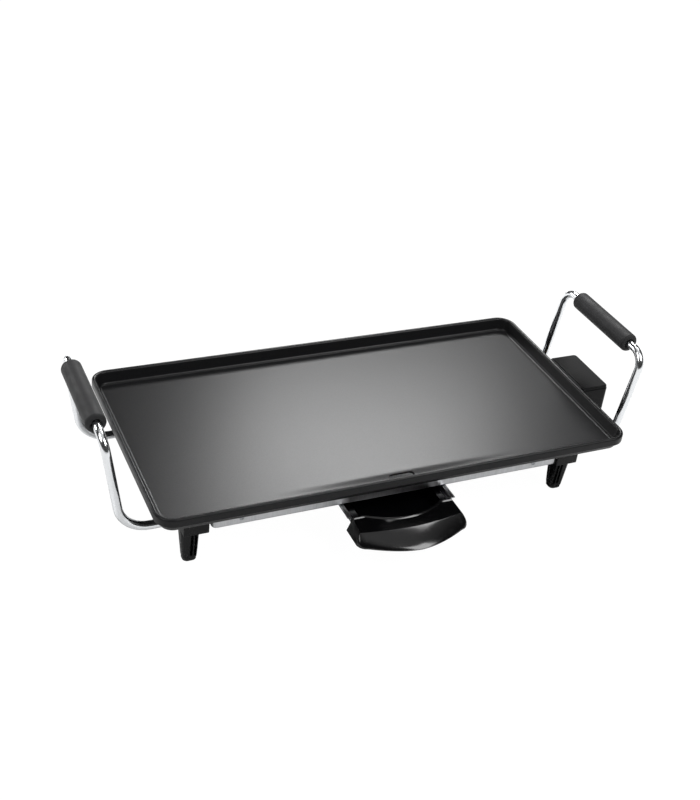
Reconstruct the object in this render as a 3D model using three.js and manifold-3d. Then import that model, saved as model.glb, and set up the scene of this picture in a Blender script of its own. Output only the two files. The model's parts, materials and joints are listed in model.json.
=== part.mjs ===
// Electric table griddle: a cast non-stick plate over a sheet-metal heat shield, on four
// moulded feet, with two wire carrying handles, a pull-out drip tray and a control box.
// Millimetres. X runs along the plate, -Y is the front where the tray pulls out, +Z is up.

import * as THREE from "three";
import { mergeVertices } from "three/addons/utils/BufferGeometryUtils.js";
import Module from "manifold-3d";

const wasm = await Module();
wasm.setup();

// ---------------------------------------------------------------- driving dimensions

const GAP = 0.3; // clearance between touching pieces
const SHEET = 1.2; // thickness of every sheet-metal wall
const SHELL = 2.2; // wall of the moulded control box

// Stack of heights
const UNDER_CLEARANCE = 45; // worktop to the bottom of the heat shield
const SHIELD_HEIGHT = 30; // heat shield, up to the plate's underside
const PLATE_FLOOR = 4; // thickness of the cooking surface
const BASIN_DEPTH = 14; // rim above the cooking surface

// Cooking plate
const PLATE_LENGTH = 524;
const PLATE_DEPTH = 270;
const PLATE_CORNER = 19; // corner radius of the rim in plan
const RIM_LIP = 4.5; // flat top of the rim
const RIM_SLOPE = 3.5; // how far the inner wall leans in on its way down
const SKIRT_HEIGHT = 9.4; // straight outer face of the rim
const SKIRT_WIDTH = 3; // overhang of the rim outside the casting below it
const CASTING_SLOPE = 4; // how far the underside draws in below the skirt
const SLOT_LENGTH = 28; // drip slot, along X
const SLOT_WIDTH = 14;
const SLOT_CORNER = 4;
const SLOT_FROM_RIM = 11; // plate's front edge to the slot

// Heat shield and what hangs on it
const SHIELD_END_INSET = 64.5; // plate end to shield end
const SHIELD_FRONT_INSET = 33; // plate front to shield front
const SHIELD_CORNER = 5;
const PILLAR_RADIUS = 5;
const PILLAR_INSET_X = 47.5; // shield end to pillar
const PILLAR_STEP_IN = 1; // pillar, inward of midway between the element's long runs
const RIVET_INSET = 30; // shield end to the rivet on its front wall
const RIVET_RADIUS = 2.6;
const RIVET_HEAD = 1.1;

// Feet
const FOOT_INSET_X = 47; // plate end to leg centre
const FOOT_INSET_Y = 51; // plate front to leg centre
const FOOT_TOP_WIDTH = 23;
const FOOT_TOP_DEPTH = 20;
const FOOT_BASE_WIDTH = 15;
const FOOT_BASE_DEPTH = 14;
const FOOT_WALL = 2.6;
const PAD_HEIGHT = 2.5;
const BOSS_HEIGHT = 6; // plate bosses that the feet seat on
const BOSS_RADIUS = 6;

// Wire handles and grips
const ROD_RADIUS = 4.5;
const ROD_HEIGHT = 48.5; // centre of the wire where it leaves the feet
const ROD_STEP_IN = 5.5; // wire centre inward of the leg centre
const ROD_SHIFT = 3; // the handles sit this much nearer the front than the feet do
const ROD_IN_FOOT = 17; // length of wire held in each foot head
const ROD_OUT = 20; // plate end to the wire's lower corner
const GRIP_OUT = 37; // plate end to the grip's axis
const GRIP_HEIGHT = 157; // worktop to the grip's axis
const LOWER_BEND = 32;
const UPPER_BEND = 18;
const BARE_ROD = 9; // wire showing between the upper bend and the grip
const GRIP_RADIUS = 10.5;
const GRIP_EDGE = 4;

// Drip tray
const TRAY_HALF_WIDTH = 47;
const TRAY_DEPTH = 14.5;
const TRAY_LENGTH = 144; // back wall to the front corners
const TRAY_FRONT_INSET = 11; // plate front to the tray's front corners
const TRAY_BOW = 13; // how far the front wall bows out
const TRAY_FLANGE = 7;
const TRAY_TOP = 40.7;
const TRAY_CORNER = 6;
const TRAY_WALL = 1.6;
const TRAY_SCREW_X = 24;
const TRAY_SCREW_LENGTH = 7;
const RAIL_TOP_FLANGE = 5;
const RAIL_DROP = 6.6;
const RAIL_LIP = 7;
const RAIL_BACK_INSET = 73; // plate back to the rails' back ends
const RAIL_FRONT_INSET = 12.5;
const HANDLE_HALF_WIDTH = 62;
const HANDLE_TOP_HALF = 55.5;
const HANDLE_REACH = 40; // handle's foremost point, ahead of the plate's front edge
const HANDLE_SHOULDER = 23; // square corner of the handle, ahead of the plate's front edge
const HANDLE_CREASE = 15; // where the flat top turns down, ahead of the plate's front edge
const HANDLE_TOP = 46;
const HANDLE_BOTTOM = 30;
const HANDLE_NOSE = 6; // height of the blunt front edge

// Heating element
const TUBE_RADIUS = 3.5;
const TUBE_FRONT_INSET = 22; // shield front to the element's outer runs
const TUBE_INNER_Y = 30;
const TUBE_END_INSET = 12; // shield end to the outside of the element's loops
const LEAD_Y = 12;
const CLIP_X = 105;

// Control box
const BOX_HALF_WIDTH = 36;
const BOX_REACH = 39; // plate end to the box's outer face
const BOX_DROP = 3; // box top below the rim
const BOX_BOTTOM = 43;
const BOX_CORNER = 5;
const BOX_BOSS_RADIUS = 3.6;
const BOX_SCREW_LENGTH = 8;
const DIAL_RADIUS = 13;
const DIAL_THICKNESS = 7.8;
const DIAL_Y = -3;
const DIAL_HEIGHT = 62;
const SHAFT_RADIUS = 3;
const LAMP_RADIUS = 3;
const LAMP_Y = 20;
const LAMP_HEIGHT = 80.5;
const INLET_WIDTH = 25; // mouth of the appliance inlet, along X
const INLET_HEIGHT = 18;
const INLET_DEPTH = 18;
const INLET_FLANGE = 3;
const PIN_LENGTH = 12;

// Screws
const SCREW_RADIUS = 2;
const SCREW_HEAD_RADIUS = 3.8;
const SCREW_HEAD = 2;
const SCREW_LENGTH = 12;

// ---------------------------------------------------------------- derived places

const UNDERSIDE = UNDER_CLEARANCE + SHIELD_HEIGHT;
const COOK_SURFACE = UNDERSIDE + PLATE_FLOOR;
const RIM_TOP = COOK_SURFACE + BASIN_DEPTH;
const SKIRT_BOTTOM = RIM_TOP - SKIRT_HEIGHT;
const END = PLATE_LENGTH / 2;
const FRONT = PLATE_DEPTH / 2;
const SHIELD_END = END - SHIELD_END_INSET;
const SHIELD_FRONT = FRONT - SHIELD_FRONT_INSET;
const FOOT_X = END - FOOT_INSET_X;
const FOOT_Y = FRONT - FOOT_INSET_Y;
const ROD_Y = FOOT_Y - ROD_STEP_IN;
const PILLAR_X = SHIELD_END - PILLAR_INSET_X;
const BOX_INNER = END + 1;
const BOX_OUTER = END + BOX_REACH;
const BOX_TOP = RIM_TOP - BOX_DROP;
const NECK_END = SHIELD_END + 2.5; // inner end of the box's neck, beside the shield
const NECK_POST_X = NECK_END + 22;
const NECK_POST_Y = 25;
const NECK_POST_RADIUS = 4.5;
const TUBE_Z = UNDERSIDE - GAP - TUBE_RADIUS;
const TUBE_OUTER_Y = SHIELD_FRONT - TUBE_FRONT_INSET;
const PILLAR_Y = (TUBE_OUTER_Y + TUBE_INNER_Y) / 2 - PILLAR_STEP_IN;
const HOLE_RADIUS = SCREW_RADIUS + GAP;
const RIVET_HEIGHT = UNDER_CLEARANCE + 8;

// Foot head, measured from the leg's centre line and outwards
const HEAD_OUTER = 10;
const HEAD_INNER = SHIELD_END + 2.5 - FOOT_X;
const HEAD_FRONT = SHIELD_FRONT - FOOT_Y; // in line with the shield's front
const HEAD_BACK = -ROD_STEP_IN - ROD_SHIFT - ROD_RADIUS - FOOT_WALL;
const HEAD_BOTTOM = ROD_HEIGHT - ROD_RADIUS - GAP - FOOT_WALL;
const HEAD_TOP = UNDERSIDE - BOSS_HEIGHT - GAP;
const FOOT_SCREW_X = FOOT_X - 4;
const FOOT_SCREW_Y = FOOT_Y + 9;
const FOOT_SCREW_SEAT = HEAD_TOP - 7;

// Tray, its rails, its front wall and the screws through it
const TRAY_FRONT = FRONT - TRAY_FRONT_INSET;
const TRAY_BACK = TRAY_LENGTH - TRAY_FRONT;
const RAIL_FRONT = FRONT - RAIL_FRONT_INSET;
const RAIL_BACK = FRONT - RAIL_BACK_INSET;
const TRAY_BOTTOM = TRAY_TOP - TRAY_DEPTH;
const TRAY_SCREW_Z = TRAY_BOTTOM + 8;
const SCREW_SHARE = (TRAY_SCREW_X + SCREW_HEAD_RADIUS) / (TRAY_HALF_WIDTH - TRAY_WALL);
const TRAY_SCREW_SEAT =
  -TRAY_FRONT + TRAY_WALL - TRAY_BOW * (1 - SCREW_SHARE * SCREW_SHARE) + GAP;

// Control box bosses and inlet
const BOX_BOSS_X = BOX_OUTER - SHELL - BOX_BOSS_RADIUS + 1;
const BOX_BOSS_Y = BOX_HALF_WIDTH - SHELL - 4.5;
const BOX_BOSS_TOP = BOX_BOTTOM + SHELL + GAP + 8;
const INLET_X = (BOX_INNER + BOX_OUTER) / 2;
const INLET_OUTER_HALF_X = INLET_WIDTH / 2 + 1.6;
const INLET_OUTER_HALF_Z = INLET_HEIGHT / 2 + 1.6;
const INLET_Z = BOX_BOSS_TOP + GAP + INLET_OUTER_HALF_Z + 0.5;

// ---------------------------------------------------------------- solids and meshes

// A closed three.js geometry as a solid that can be joined and cut.
function solid(geometry) {
  const bare = geometry.index ? geometry.toNonIndexed() : geometry.clone();
  bare.deleteAttribute("normal");
  bare.deleteAttribute("uv");
  const merged = mergeVertices(bare, 1e-4);
  return new wasm.Manifold(
    new wasm.Mesh({
      numProp: 3,
      vertProperties: merged.attributes.position.array,
      triVerts: new Uint32Array(merged.index.array),
    }),
  );
}

// A solid back as a three.js geometry.
function geometryOf(body) {
  const mesh = body.getMesh();
  const geometry = new THREE.BufferGeometry();
  const positions = new Float32Array(mesh.numVert * 3);
  for (let i = 0; i < mesh.numVert; i++) {
    for (let k = 0; k < 3; k++) {
      positions[i * 3 + k] = mesh.vertProperties[i * mesh.numProp + k];
    }
  }
  geometry.setAttribute("position", new THREE.BufferAttribute(positions, 3));
  geometry.setIndex(Array.from(mesh.triVerts));
  geometry.computeVertexNormals();
  return geometry;
}

function block(x0, x1, y0, y1, z0, z1) {
  const geometry = new THREE.BoxGeometry(x1 - x0, y1 - y0, z1 - z0);
  geometry.translate((x0 + x1) / 2, (y0 + y1) / 2, (z0 + z1) / 2);
  return solid(geometry);
}

function roundedRectangle(width, depth, radius) {
  const shape = new THREE.Shape();
  const x = width / 2 - radius;
  const y = depth / 2 - radius;
  shape.absarc(x, y, radius, 0, Math.PI / 2);
  shape.absarc(-x, y, radius, Math.PI / 2, Math.PI);
  shape.absarc(-x, -y, radius, Math.PI, Math.PI * 1.5);
  shape.absarc(x, -y, radius, Math.PI * 1.5, Math.PI * 2);
  return shape;
}

function prism(shape, z0, z1, curveSegments = 3) {
  const geometry = new THREE.ExtrudeGeometry(shape, {
    depth: z1 - z0,
    bevelEnabled: false,
    curveSegments,
  });
  geometry.translate(0, 0, z0);
  return solid(geometry);
}

// A slab with its full outline in the middle, drawn in by `run` over `rise` at both ends.
function taperedSlab(width, depth, radius, z0, z1, run, rise) {
  const shape = roundedRectangle(width - 2 * run, depth - 2 * run, radius - run);
  const geometry = new THREE.ExtrudeGeometry(shape, {
    depth: z1 - z0 - 2 * rise,
    bevelEnabled: true,
    bevelSize: run,
    bevelThickness: rise,
    bevelSegments: 1,
    curveSegments: 3,
  });
  geometry.translate(0, 0, z0 + rise);
  return solid(geometry);
}

function cylinder(radius, z0, z1, x, y, sides = 14) {
  const geometry = new THREE.CylinderGeometry(radius, radius, z1 - z0, sides);
  geometry.rotateX(Math.PI / 2);
  geometry.translate(x, y, (z0 + z1) / 2);
  return solid(geometry);
}

function cylinderAlongX(radius, x0, x1, y, z, sides = 14) {
  const geometry = new THREE.CylinderGeometry(radius, radius, x1 - x0, sides);
  geometry.rotateZ(Math.PI / 2);
  geometry.translate((x0 + x1) / 2, y, z);
  return solid(geometry);
}

function cylinderAlongY(radius, y0, y1, x, z, sides = 14) {
  const geometry = new THREE.CylinderGeometry(radius, radius, y1 - y0, sides);
  geometry.translate(x, (y0 + y1) / 2, z);
  return solid(geometry);
}

// A route of straight runs joined by round bends, for wire and tube.
function bentRoute(points, bends) {
  const route = new THREE.CurvePath();
  let from = points[0];
  for (let i = 1; i < points.length - 1; i++) {
    const corner = points[i];
    const incoming = corner.clone().sub(points[i - 1]).normalize();
    const outgoing = points[i + 1].clone().sub(corner).normalize();
    const turn = incoming.angleTo(outgoing);
    const radius = bends[i - 1];
    const reach = radius * Math.tan(turn / 2);
    const pull = (4 / 3) * Math.tan(turn / 4) * radius;
    const start = corner.clone().addScaledVector(incoming, -reach);
    const end = corner.clone().addScaledVector(outgoing, reach);
    route.add(new THREE.LineCurve3(from, start));
    route.add(
      new THREE.CubicBezierCurve3(
        start,
        start.clone().addScaledVector(incoming, pull),
        end.clone().addScaledVector(outgoing, -pull),
        end,
      ),
    );
    from = end;
  }
  route.add(new THREE.LineCurve3(from, points[points.length - 1]));
  return route;
}

function roundBar(route, radius, steps, sides) {
  const section = new THREE.Shape();
  section.absarc(0, 0, radius, 0, Math.PI * 2);
  return new THREE.ExtrudeGeometry(section, {
    steps,
    extrudePath: route,
    curveSegments: sides,
    bevelEnabled: false,
  });
}

// A turned piece about Z: [radius, height] pairs that start and end on the axis.
function turned(profile, sides = 14) {
  const points = profile.map(([radius, height]) => new THREE.Vector2(radius, height));
  return new THREE.LatheGeometry(points, sides).rotateX(Math.PI / 2);
}

function finish(color, roughness, metalness = 0) {
  return new THREE.MeshStandardMaterial({ color, roughness, metalness });
}

const NON_STICK = finish(0x2b2b2c, 0.5, 0.2);
const BRIGHT_SHEET = finish(0xc4c6c8, 0.35, 1);
const CHROME = finish(0xdadcde, 0.08, 1);
const STEEL = finish(0x9c9da0, 0.4, 1);
const TIN_PLATE = finish(0xb8b4a8, 0.4, 1);
const BRASS = finish(0xb89a52, 0.35, 1);
const ENAMEL = finish(0x101011, 0.25);
const GLOSS_BLACK = finish(0x0b0b0c, 0.12);
const MATT_BLACK = finish(0x1b1b1c, 0.55);
const SOFT_BLACK = finish(0x242425, 0.85);
const RUBBER = finish(0x161616, 0.9);
const CERAMIC = finish(0xd9d3c4, 0.6);
const AMBER = finish(0xd9531e, 0.15);

const griddle = new THREE.Group();

function place(name, geometry, material, parent = griddle) {
  const mesh = new THREE.Mesh(geometry, material);
  mesh.name = name;
  parent.add(mesh);
  return mesh;
}

const ENDS = [
  ["left", -1],
  ["right", 1],
];
const SIDES = [
  ["front", -1],
  ["back", 1],
];
const HALF_TURN = Math.PI;
const QUARTER_TURN = Math.PI / 2;

// ---------------------------------------------------------------- cooking plate

function cookingPlate() {
  const castingInset = SKIRT_WIDTH;
  let plate = taperedSlab(
    PLATE_LENGTH,
    PLATE_DEPTH,
    PLATE_CORNER,
    SKIRT_BOTTOM,
    RIM_TOP,
    1,
    1,
  );
  const castingRise = SKIRT_BOTTOM - UNDERSIDE;
  const casting = taperedSlab(
    PLATE_LENGTH - 2 * castingInset,
    PLATE_DEPTH - 2 * castingInset,
    PLATE_CORNER - castingInset,
    UNDERSIDE,
    SKIRT_BOTTOM + castingRise + 0.5,
    CASTING_SLOPE,
    castingRise,
  );
  plate = plate.add(casting);
  const basin = taperedSlab(
    PLATE_LENGTH - 2 * RIM_LIP,
    PLATE_DEPTH - 2 * RIM_LIP,
    PLATE_CORNER - RIM_LIP,
    COOK_SURFACE,
    RIM_TOP + BASIN_DEPTH + 1,
    RIM_SLOPE,
    BASIN_DEPTH,
  );
  plate = plate.subtract(basin);

  for (const x of [-1, 1]) {
    for (const y of [-1, 1]) {
      const bossX = x * FOOT_SCREW_X;
      const bossY = y * FOOT_SCREW_Y;
      plate = plate.add(cylinder(BOSS_RADIUS, UNDERSIDE - BOSS_HEIGHT, UNDERSIDE + 1, bossX, bossY));
      plate = plate.subtract(
        cylinder(HOLE_RADIUS, UNDERSIDE - BOSS_HEIGHT - 1, UNDERSIDE + 1, bossX, bossY, 10),
      );
      plate = plate.add(
        cylinder(PILLAR_RADIUS, UNDER_CLEARANCE + SHEET + GAP, UNDERSIDE + 1, x * PILLAR_X, y * PILLAR_Y),
      );
      plate = plate.subtract(
        cylinder(HOLE_RADIUS, UNDER_CLEARANCE, UNDERSIDE - 5, x * PILLAR_X, y * PILLAR_Y, 10),
      );
    }
  }
  for (const y of [-NECK_POST_Y, NECK_POST_Y]) {
    plate = plate.add(
      cylinder(NECK_POST_RADIUS, BOX_BOTTOM + SHELL + GAP, UNDERSIDE + 1, NECK_POST_X, y),
    );
    plate = plate.subtract(cylinder(HOLE_RADIUS, BOX_BOTTOM, UNDERSIDE - 5, NECK_POST_X, y, 10));
  }

  const slot = prism(
    roundedRectangle(SLOT_LENGTH, SLOT_WIDTH, SLOT_CORNER),
    UNDERSIDE - 2,
    COOK_SURFACE + 2,
  ).translate(0, -(FRONT - SLOT_FROM_RIM - SLOT_WIDTH / 2), 0);
  plate = plate.subtract(slot);
  place("cooking_plate", geometryOf(plate), NON_STICK);
}

// ---------------------------------------------------------------- feet

// One foot about its leg's centre line, with +X and +Y pointing out of the griddle. The
// wire's bore is `boreStepIn` inward of that line.
function footSolid(boreStepIn) {
  const leg = new THREE.ExtrudeGeometry(roundedRectangle(FOOT_TOP_WIDTH, FOOT_TOP_DEPTH, 6), {
    depth: 1,
    bevelEnabled: false,
    curveSegments: 5,
  });
  const legBottom = PAD_HEIGHT + GAP;
  const legTop = HEAD_BOTTOM + 4;
  const corners = leg.attributes.position;
  for (let i = 0; i < corners.count; i++) {
    const low = corners.getZ(i) < 0.5;
    corners.setX(i, corners.getX(i) * (low ? FOOT_BASE_WIDTH / FOOT_TOP_WIDTH : 1));
    corners.setY(i, corners.getY(i) * (low ? FOOT_BASE_DEPTH / FOOT_TOP_DEPTH : 1));
    corners.setZ(i, low ? legBottom : legTop);
  }
  let foot = solid(leg);

  // The leg is a shell, open on its inner side, with one rib down its middle.
  const halfWidth = FOOT_TOP_WIDTH / 2;
  const pocket = FOOT_BASE_DEPTH / 2 - FOOT_WALL;
  for (const [y0, y1] of [
    [-pocket, -0.9],
    [0.9, pocket],
  ]) {
    foot = foot.subtract(block(-halfWidth - 1, 1.5, y0, y1, legBottom + 4, HEAD_BOTTOM - 1));
  }

  const head = block(HEAD_INNER, HEAD_OUTER, HEAD_BACK, HEAD_FRONT - 7, HEAD_BOTTOM, HEAD_TOP);
  const flange = block(HEAD_INNER, HEAD_OUTER, HEAD_FRONT - 8, HEAD_FRONT, UNDER_CLEARANCE, HEAD_TOP);
  foot = foot.add(head).add(flange);

  const bore = cylinderAlongX(
    ROD_RADIUS + GAP,
    HEAD_OUTER - ROD_IN_FOOT - GAP,
    HEAD_OUTER + 2,
    -boreStepIn,
    ROD_HEIGHT,
  );
  foot = foot.subtract(bore);

  const screwX = FOOT_SCREW_X - FOOT_X;
  const screwY = FOOT_SCREW_Y - FOOT_Y;
  foot = foot.subtract(
    cylinder(SCREW_HEAD_RADIUS + GAP, HEAD_BOTTOM - 12, FOOT_SCREW_SEAT, screwX, screwY),
  );
  foot = foot.subtract(cylinder(HOLE_RADIUS, HEAD_BOTTOM, HEAD_TOP + 1, screwX, screwY, 10));
  return foot;
}

function feet() {
  const padSize = [FOOT_BASE_WIDTH - 0.6, FOOT_BASE_DEPTH - 0.6];
  const padGeometry = geometryOf(prism(roundedRectangle(...padSize, 4), 0, PAD_HEIGHT));
  for (const [side, y] of SIDES) {
    const footGeometry = geometryOf(footSolid(ROD_STEP_IN + y * ROD_SHIFT));
    for (const [end, x] of ENDS) {
      const corner = new THREE.Group();
      corner.position.set(x * FOOT_X, y * FOOT_Y, 0);
      corner.scale.set(x, y, 1);
      griddle.add(corner);
      place(`foot_${side}_${end}`, footGeometry, MATT_BLACK, corner);
      place(`foot_pad_${side}_${end}`, padGeometry, RUBBER, corner);
      const screw = place(`foot_screw_${side}_${end}`, screwGeometry(SCREW_LENGTH), STEEL);
      screw.position.set(x * FOOT_SCREW_X, y * FOOT_SCREW_Y, FOOT_SCREW_SEAT - GAP);
    }
  }
}

// A pan-head screw pointing up +Z, with the underside of its head at the origin.
function screwGeometry(length, radius = SCREW_RADIUS, headRadius = SCREW_HEAD_RADIUS) {
  return turned([
    [0, -SCREW_HEAD],
    [headRadius * 0.7, -SCREW_HEAD],
    [headRadius, -SCREW_HEAD * 0.55],
    [headRadius, 0],
    [radius, 0],
    [radius, length - 1],
    [0, length],
  ], 10);
}

// ---------------------------------------------------------------- heat shield

function heatShield() {
  let shield = prism(
    roundedRectangle(2 * SHIELD_END, 2 * SHIELD_FRONT, SHIELD_CORNER),
    UNDER_CLEARANCE,
    UNDERSIDE - GAP,
    3,
  );
  const hollow = prism(
    roundedRectangle(2 * (SHIELD_END - SHEET), 2 * (SHIELD_FRONT - SHEET), SHIELD_CORNER - SHEET),
    UNDER_CLEARANCE + SHEET,
    UNDERSIDE + 1,
    3,
  );
  shield = shield.subtract(hollow);
  for (const x of [-PILLAR_X, PILLAR_X]) {
    for (const y of [-PILLAR_Y, PILLAR_Y]) {
      shield = shield.subtract(
        cylinder(HOLE_RADIUS, UNDER_CLEARANCE - 1, UNDER_CLEARANCE + SHEET + 1, x, y, 10),
      );
    }
  }
  for (const x of [-SHIELD_END + RIVET_INSET, SHIELD_END - RIVET_INSET]) {
    shield = shield.subtract(
      cylinderAlongY(
        1.5 + GAP,
        -SHIELD_FRONT - 1,
        -SHIELD_FRONT + SHEET + 1,
        x,
        RIVET_HEIGHT,
        10,
      ),
    );
  }
  // Notch for the element's leads and the thermostat bulb
  const notchHalf = LEAD_Y + TUBE_RADIUS + 3;
  const notchBottom = TUBE_Z - TUBE_RADIUS - 3;
  shield = shield.subtract(
    block(SHIELD_END - 5, SHIELD_END + 5, -notchHalf, notchHalf, notchBottom, UNDERSIDE + 1),
  );
  place("heat_shield", geometryOf(shield), BRIGHT_SHEET);

  let number = 0;
  for (const x of [-PILLAR_X, PILLAR_X]) {
    for (const y of [-PILLAR_Y, PILLAR_Y]) {
      number += 1;
      const screw = place(`shield_screw_${number}`, screwGeometry(SCREW_LENGTH), STEEL);
      screw.position.set(x, y, UNDER_CLEARANCE - GAP);
    }
  }
  for (const [end, x] of ENDS) {
    const rivet = place(`shield_rivet_${end}`, rivetGeometry(), STEEL);
    rivet.position.set(x * (SHIELD_END - RIVET_INSET), -SHIELD_FRONT - GAP, RIVET_HEIGHT);
    rivet.rotation.x = -QUARTER_TURN;
  }
}

// A blind rivet pointing up +Z: a low dome at the origin and a short body behind it.
function rivetGeometry() {
  return turned([
    [0, -RIVET_HEAD],
    [RIVET_RADIUS * 0.6, -RIVET_HEAD * 0.8],
    [RIVET_RADIUS, 0],
    [1.5, 0],
    [1.5, 4],
    [0, 4],
  ], 10);
}

// ---------------------------------------------------------------- handles

function handles() {
  const gripHalf = ROD_Y - UPPER_BEND - BARE_ROD;
  const rodFront = -ROD_Y - ROD_SHIFT;
  const rodBack = ROD_Y - ROD_SHIFT;
  for (const [end, x] of ENDS) {
    const inFoot = x * (FOOT_X + HEAD_OUTER - ROD_IN_FOOT);
    const lowX = x * (END + ROD_OUT);
    const topX = x * (END + GRIP_OUT);
    const route = bentRoute(
      [
        new THREE.Vector3(inFoot, rodFront, ROD_HEIGHT),
        new THREE.Vector3(lowX, rodFront, ROD_HEIGHT),
        new THREE.Vector3(topX, rodFront, GRIP_HEIGHT),
        new THREE.Vector3(topX, rodBack, GRIP_HEIGHT),
        new THREE.Vector3(lowX, rodBack, ROD_HEIGHT),
        new THREE.Vector3(inFoot, rodBack, ROD_HEIGHT),
      ],
      [LOWER_BEND, UPPER_BEND, UPPER_BEND, LOWER_BEND],
    );
    place(`handle_rod_${end}`, roundBar(route, ROD_RADIUS, 60, 4), CHROME);

    const bore = ROD_RADIUS + GAP;
    const grip = turned([
      [bore, -gripHalf],
      [GRIP_RADIUS - GRIP_EDGE, -gripHalf],
      [GRIP_RADIUS - GRIP_EDGE * 0.3, -gripHalf + GRIP_EDGE * 0.3],
      [GRIP_RADIUS, -gripHalf + GRIP_EDGE],
      [GRIP_RADIUS, gripHalf - GRIP_EDGE],
      [GRIP_RADIUS - GRIP_EDGE * 0.3, gripHalf - GRIP_EDGE * 0.3],
      [GRIP_RADIUS - GRIP_EDGE, gripHalf],
      [bore, gripHalf],
      [bore, -gripHalf],
    ], 18);
    const mesh = place(`grip_${end}`, grip, SOFT_BLACK);
    mesh.position.set(topX, -ROD_SHIFT, GRIP_HEIGHT);
    mesh.rotation.x = QUARTER_TURN;
  }
}

// ---------------------------------------------------------------- drip tray

// Plan outline of the tray: square at the back, bowed out at the front.
function trayPlan(halfWidth, inset) {
  const shape = new THREE.Shape();
  const back = TRAY_BACK - inset;
  const front = -TRAY_FRONT + inset;
  const round = TRAY_CORNER;
  shape.moveTo(halfWidth, front);
  shape.lineTo(halfWidth, back - round);
  shape.quadraticCurveTo(halfWidth, back, halfWidth - round, back);
  shape.lineTo(-halfWidth + round, back);
  shape.quadraticCurveTo(-halfWidth, back, -halfWidth, back - round);
  shape.lineTo(-halfWidth, front);
  shape.quadraticCurveTo(0, front - 2 * TRAY_BOW, halfWidth, front);
  return shape;
}

function dripTray() {
  let tray = prism(trayPlan(TRAY_HALF_WIDTH, 0), TRAY_BOTTOM, TRAY_TOP, 8);
  const flangeHalf = TRAY_HALF_WIDTH + TRAY_FLANGE;
  const flangeFront = -TRAY_FRONT + 4;
  tray = tray.add(
    block(-flangeHalf, flangeHalf, flangeFront, TRAY_BACK - TRAY_CORNER, TRAY_TOP - SHEET, TRAY_TOP),
  );
  const inside = prism(
    trayPlan(TRAY_HALF_WIDTH - TRAY_WALL, TRAY_WALL),
    TRAY_BOTTOM + TRAY_WALL,
    TRAY_TOP + 1,
    8,
  );
  tray = tray.subtract(inside);
  for (const x of [-TRAY_SCREW_X, TRAY_SCREW_X]) {
    tray = tray.subtract(cylinderAlongY(HOLE_RADIUS, -170, -100, x, TRAY_SCREW_Z, 10));
  }
  place("drip_tray", geometryOf(tray), ENAMEL);
  for (const [end, x] of ENDS) {
    const screw = place(`tray_screw_${end}`, screwGeometry(TRAY_SCREW_LENGTH), STEEL);
    screw.position.set(x * TRAY_SCREW_X, TRAY_SCREW_SEAT, TRAY_SCREW_Z);
    screw.rotation.x = QUARTER_TURN;
  }
}

function trayHandle() {
  const shoulder = -(FRONT + HANDLE_SHOULDER);
  const reach = -(FRONT + HANDLE_REACH);
  const rear = -(RAIL_FRONT + 1.5);
  const plan = new THREE.Shape();
  plan.moveTo(HANDLE_HALF_WIDTH, rear);
  plan.lineTo(-HANDLE_HALF_WIDTH, rear);
  plan.lineTo(-HANDLE_HALF_WIDTH, shoulder + 14);
  plan.quadraticCurveTo(
    -HANDLE_HALF_WIDTH,
    shoulder + 4,
    -HANDLE_HALF_WIDTH + 6,
    shoulder,
  );
  plan.quadraticCurveTo(0, 2 * reach - shoulder, HANDLE_HALF_WIDTH - 6, shoulder);
  plan.quadraticCurveTo(HANDLE_HALF_WIDTH, shoulder + 4, HANDLE_HALF_WIDTH, shoulder + 14);
  plan.lineTo(HANDLE_HALF_WIDTH, rear);
  let handle = prism(plan, HANDLE_BOTTOM, HANDLE_TOP, 8);

  // Side profile, drawn with the shape's x as Y and its y as Z, then stood up along X
  const crease = -(FRONT + HANDLE_CREASE);
  const side = new THREE.Shape();
  side.moveTo(rear + 1, HANDLE_BOTTOM - 1);
  side.lineTo(rear + 1, HANDLE_TOP);
  side.lineTo(crease, HANDLE_TOP);
  side.quadraticCurveTo(
    (crease + reach) / 2 - 3,
    HANDLE_TOP - 1,
    reach,
    HANDLE_BOTTOM + HANDLE_NOSE,
  );
  side.lineTo(reach, HANDLE_BOTTOM - 1);
  side.closePath();
  const profile = new THREE.ExtrudeGeometry(side, {
    depth: 2 * HANDLE_HALF_WIDTH + 2,
    bevelEnabled: false,
    curveSegments: 6,
  });
  profile.rotateX(QUARTER_TURN);
  profile.rotateZ(QUARTER_TURN);
  profile.translate(-HANDLE_HALF_WIDTH - 1, 0, 0);
  handle = handle.intersect(solid(profile));

  // The ends lean in towards the top.
  const face = new THREE.Shape();
  face.moveTo(-HANDLE_HALF_WIDTH, HANDLE_BOTTOM - 1);
  face.lineTo(HANDLE_HALF_WIDTH, HANDLE_BOTTOM - 1);
  face.lineTo(HANDLE_HALF_WIDTH, HANDLE_BOTTOM + HANDLE_NOSE);
  face.lineTo(HANDLE_TOP_HALF, HANDLE_TOP + 0.5);
  face.lineTo(-HANDLE_TOP_HALF, HANDLE_TOP + 0.5);
  face.lineTo(-HANDLE_HALF_WIDTH, HANDLE_BOTTOM + HANDLE_NOSE);
  face.closePath();
  const ends = new THREE.ExtrudeGeometry(face, { depth: 120, bevelEnabled: false });
  ends.rotateX(QUARTER_TURN);
  ends.translate(0, -(TRAY_FRONT - 20), 0);
  handle = handle.intersect(solid(ends));

  // Room for the tray's bowed front wall and its side flanges
  const room = prism(trayPlan(TRAY_HALF_WIDTH + GAP, -GAP), HANDLE_BOTTOM - 1, HANDLE_TOP + 1, 8);
  handle = handle.subtract(room);
  for (const x of [-TRAY_SCREW_X, TRAY_SCREW_X]) {
    handle = handle.subtract(
      cylinderAlongY(HOLE_RADIUS, TRAY_SCREW_SEAT - 9, -TRAY_FRONT + 10, x, TRAY_SCREW_Z, 10),
    );
  }
  place("tray_handle", geometryOf(handle), GLOSS_BLACK);
}

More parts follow.
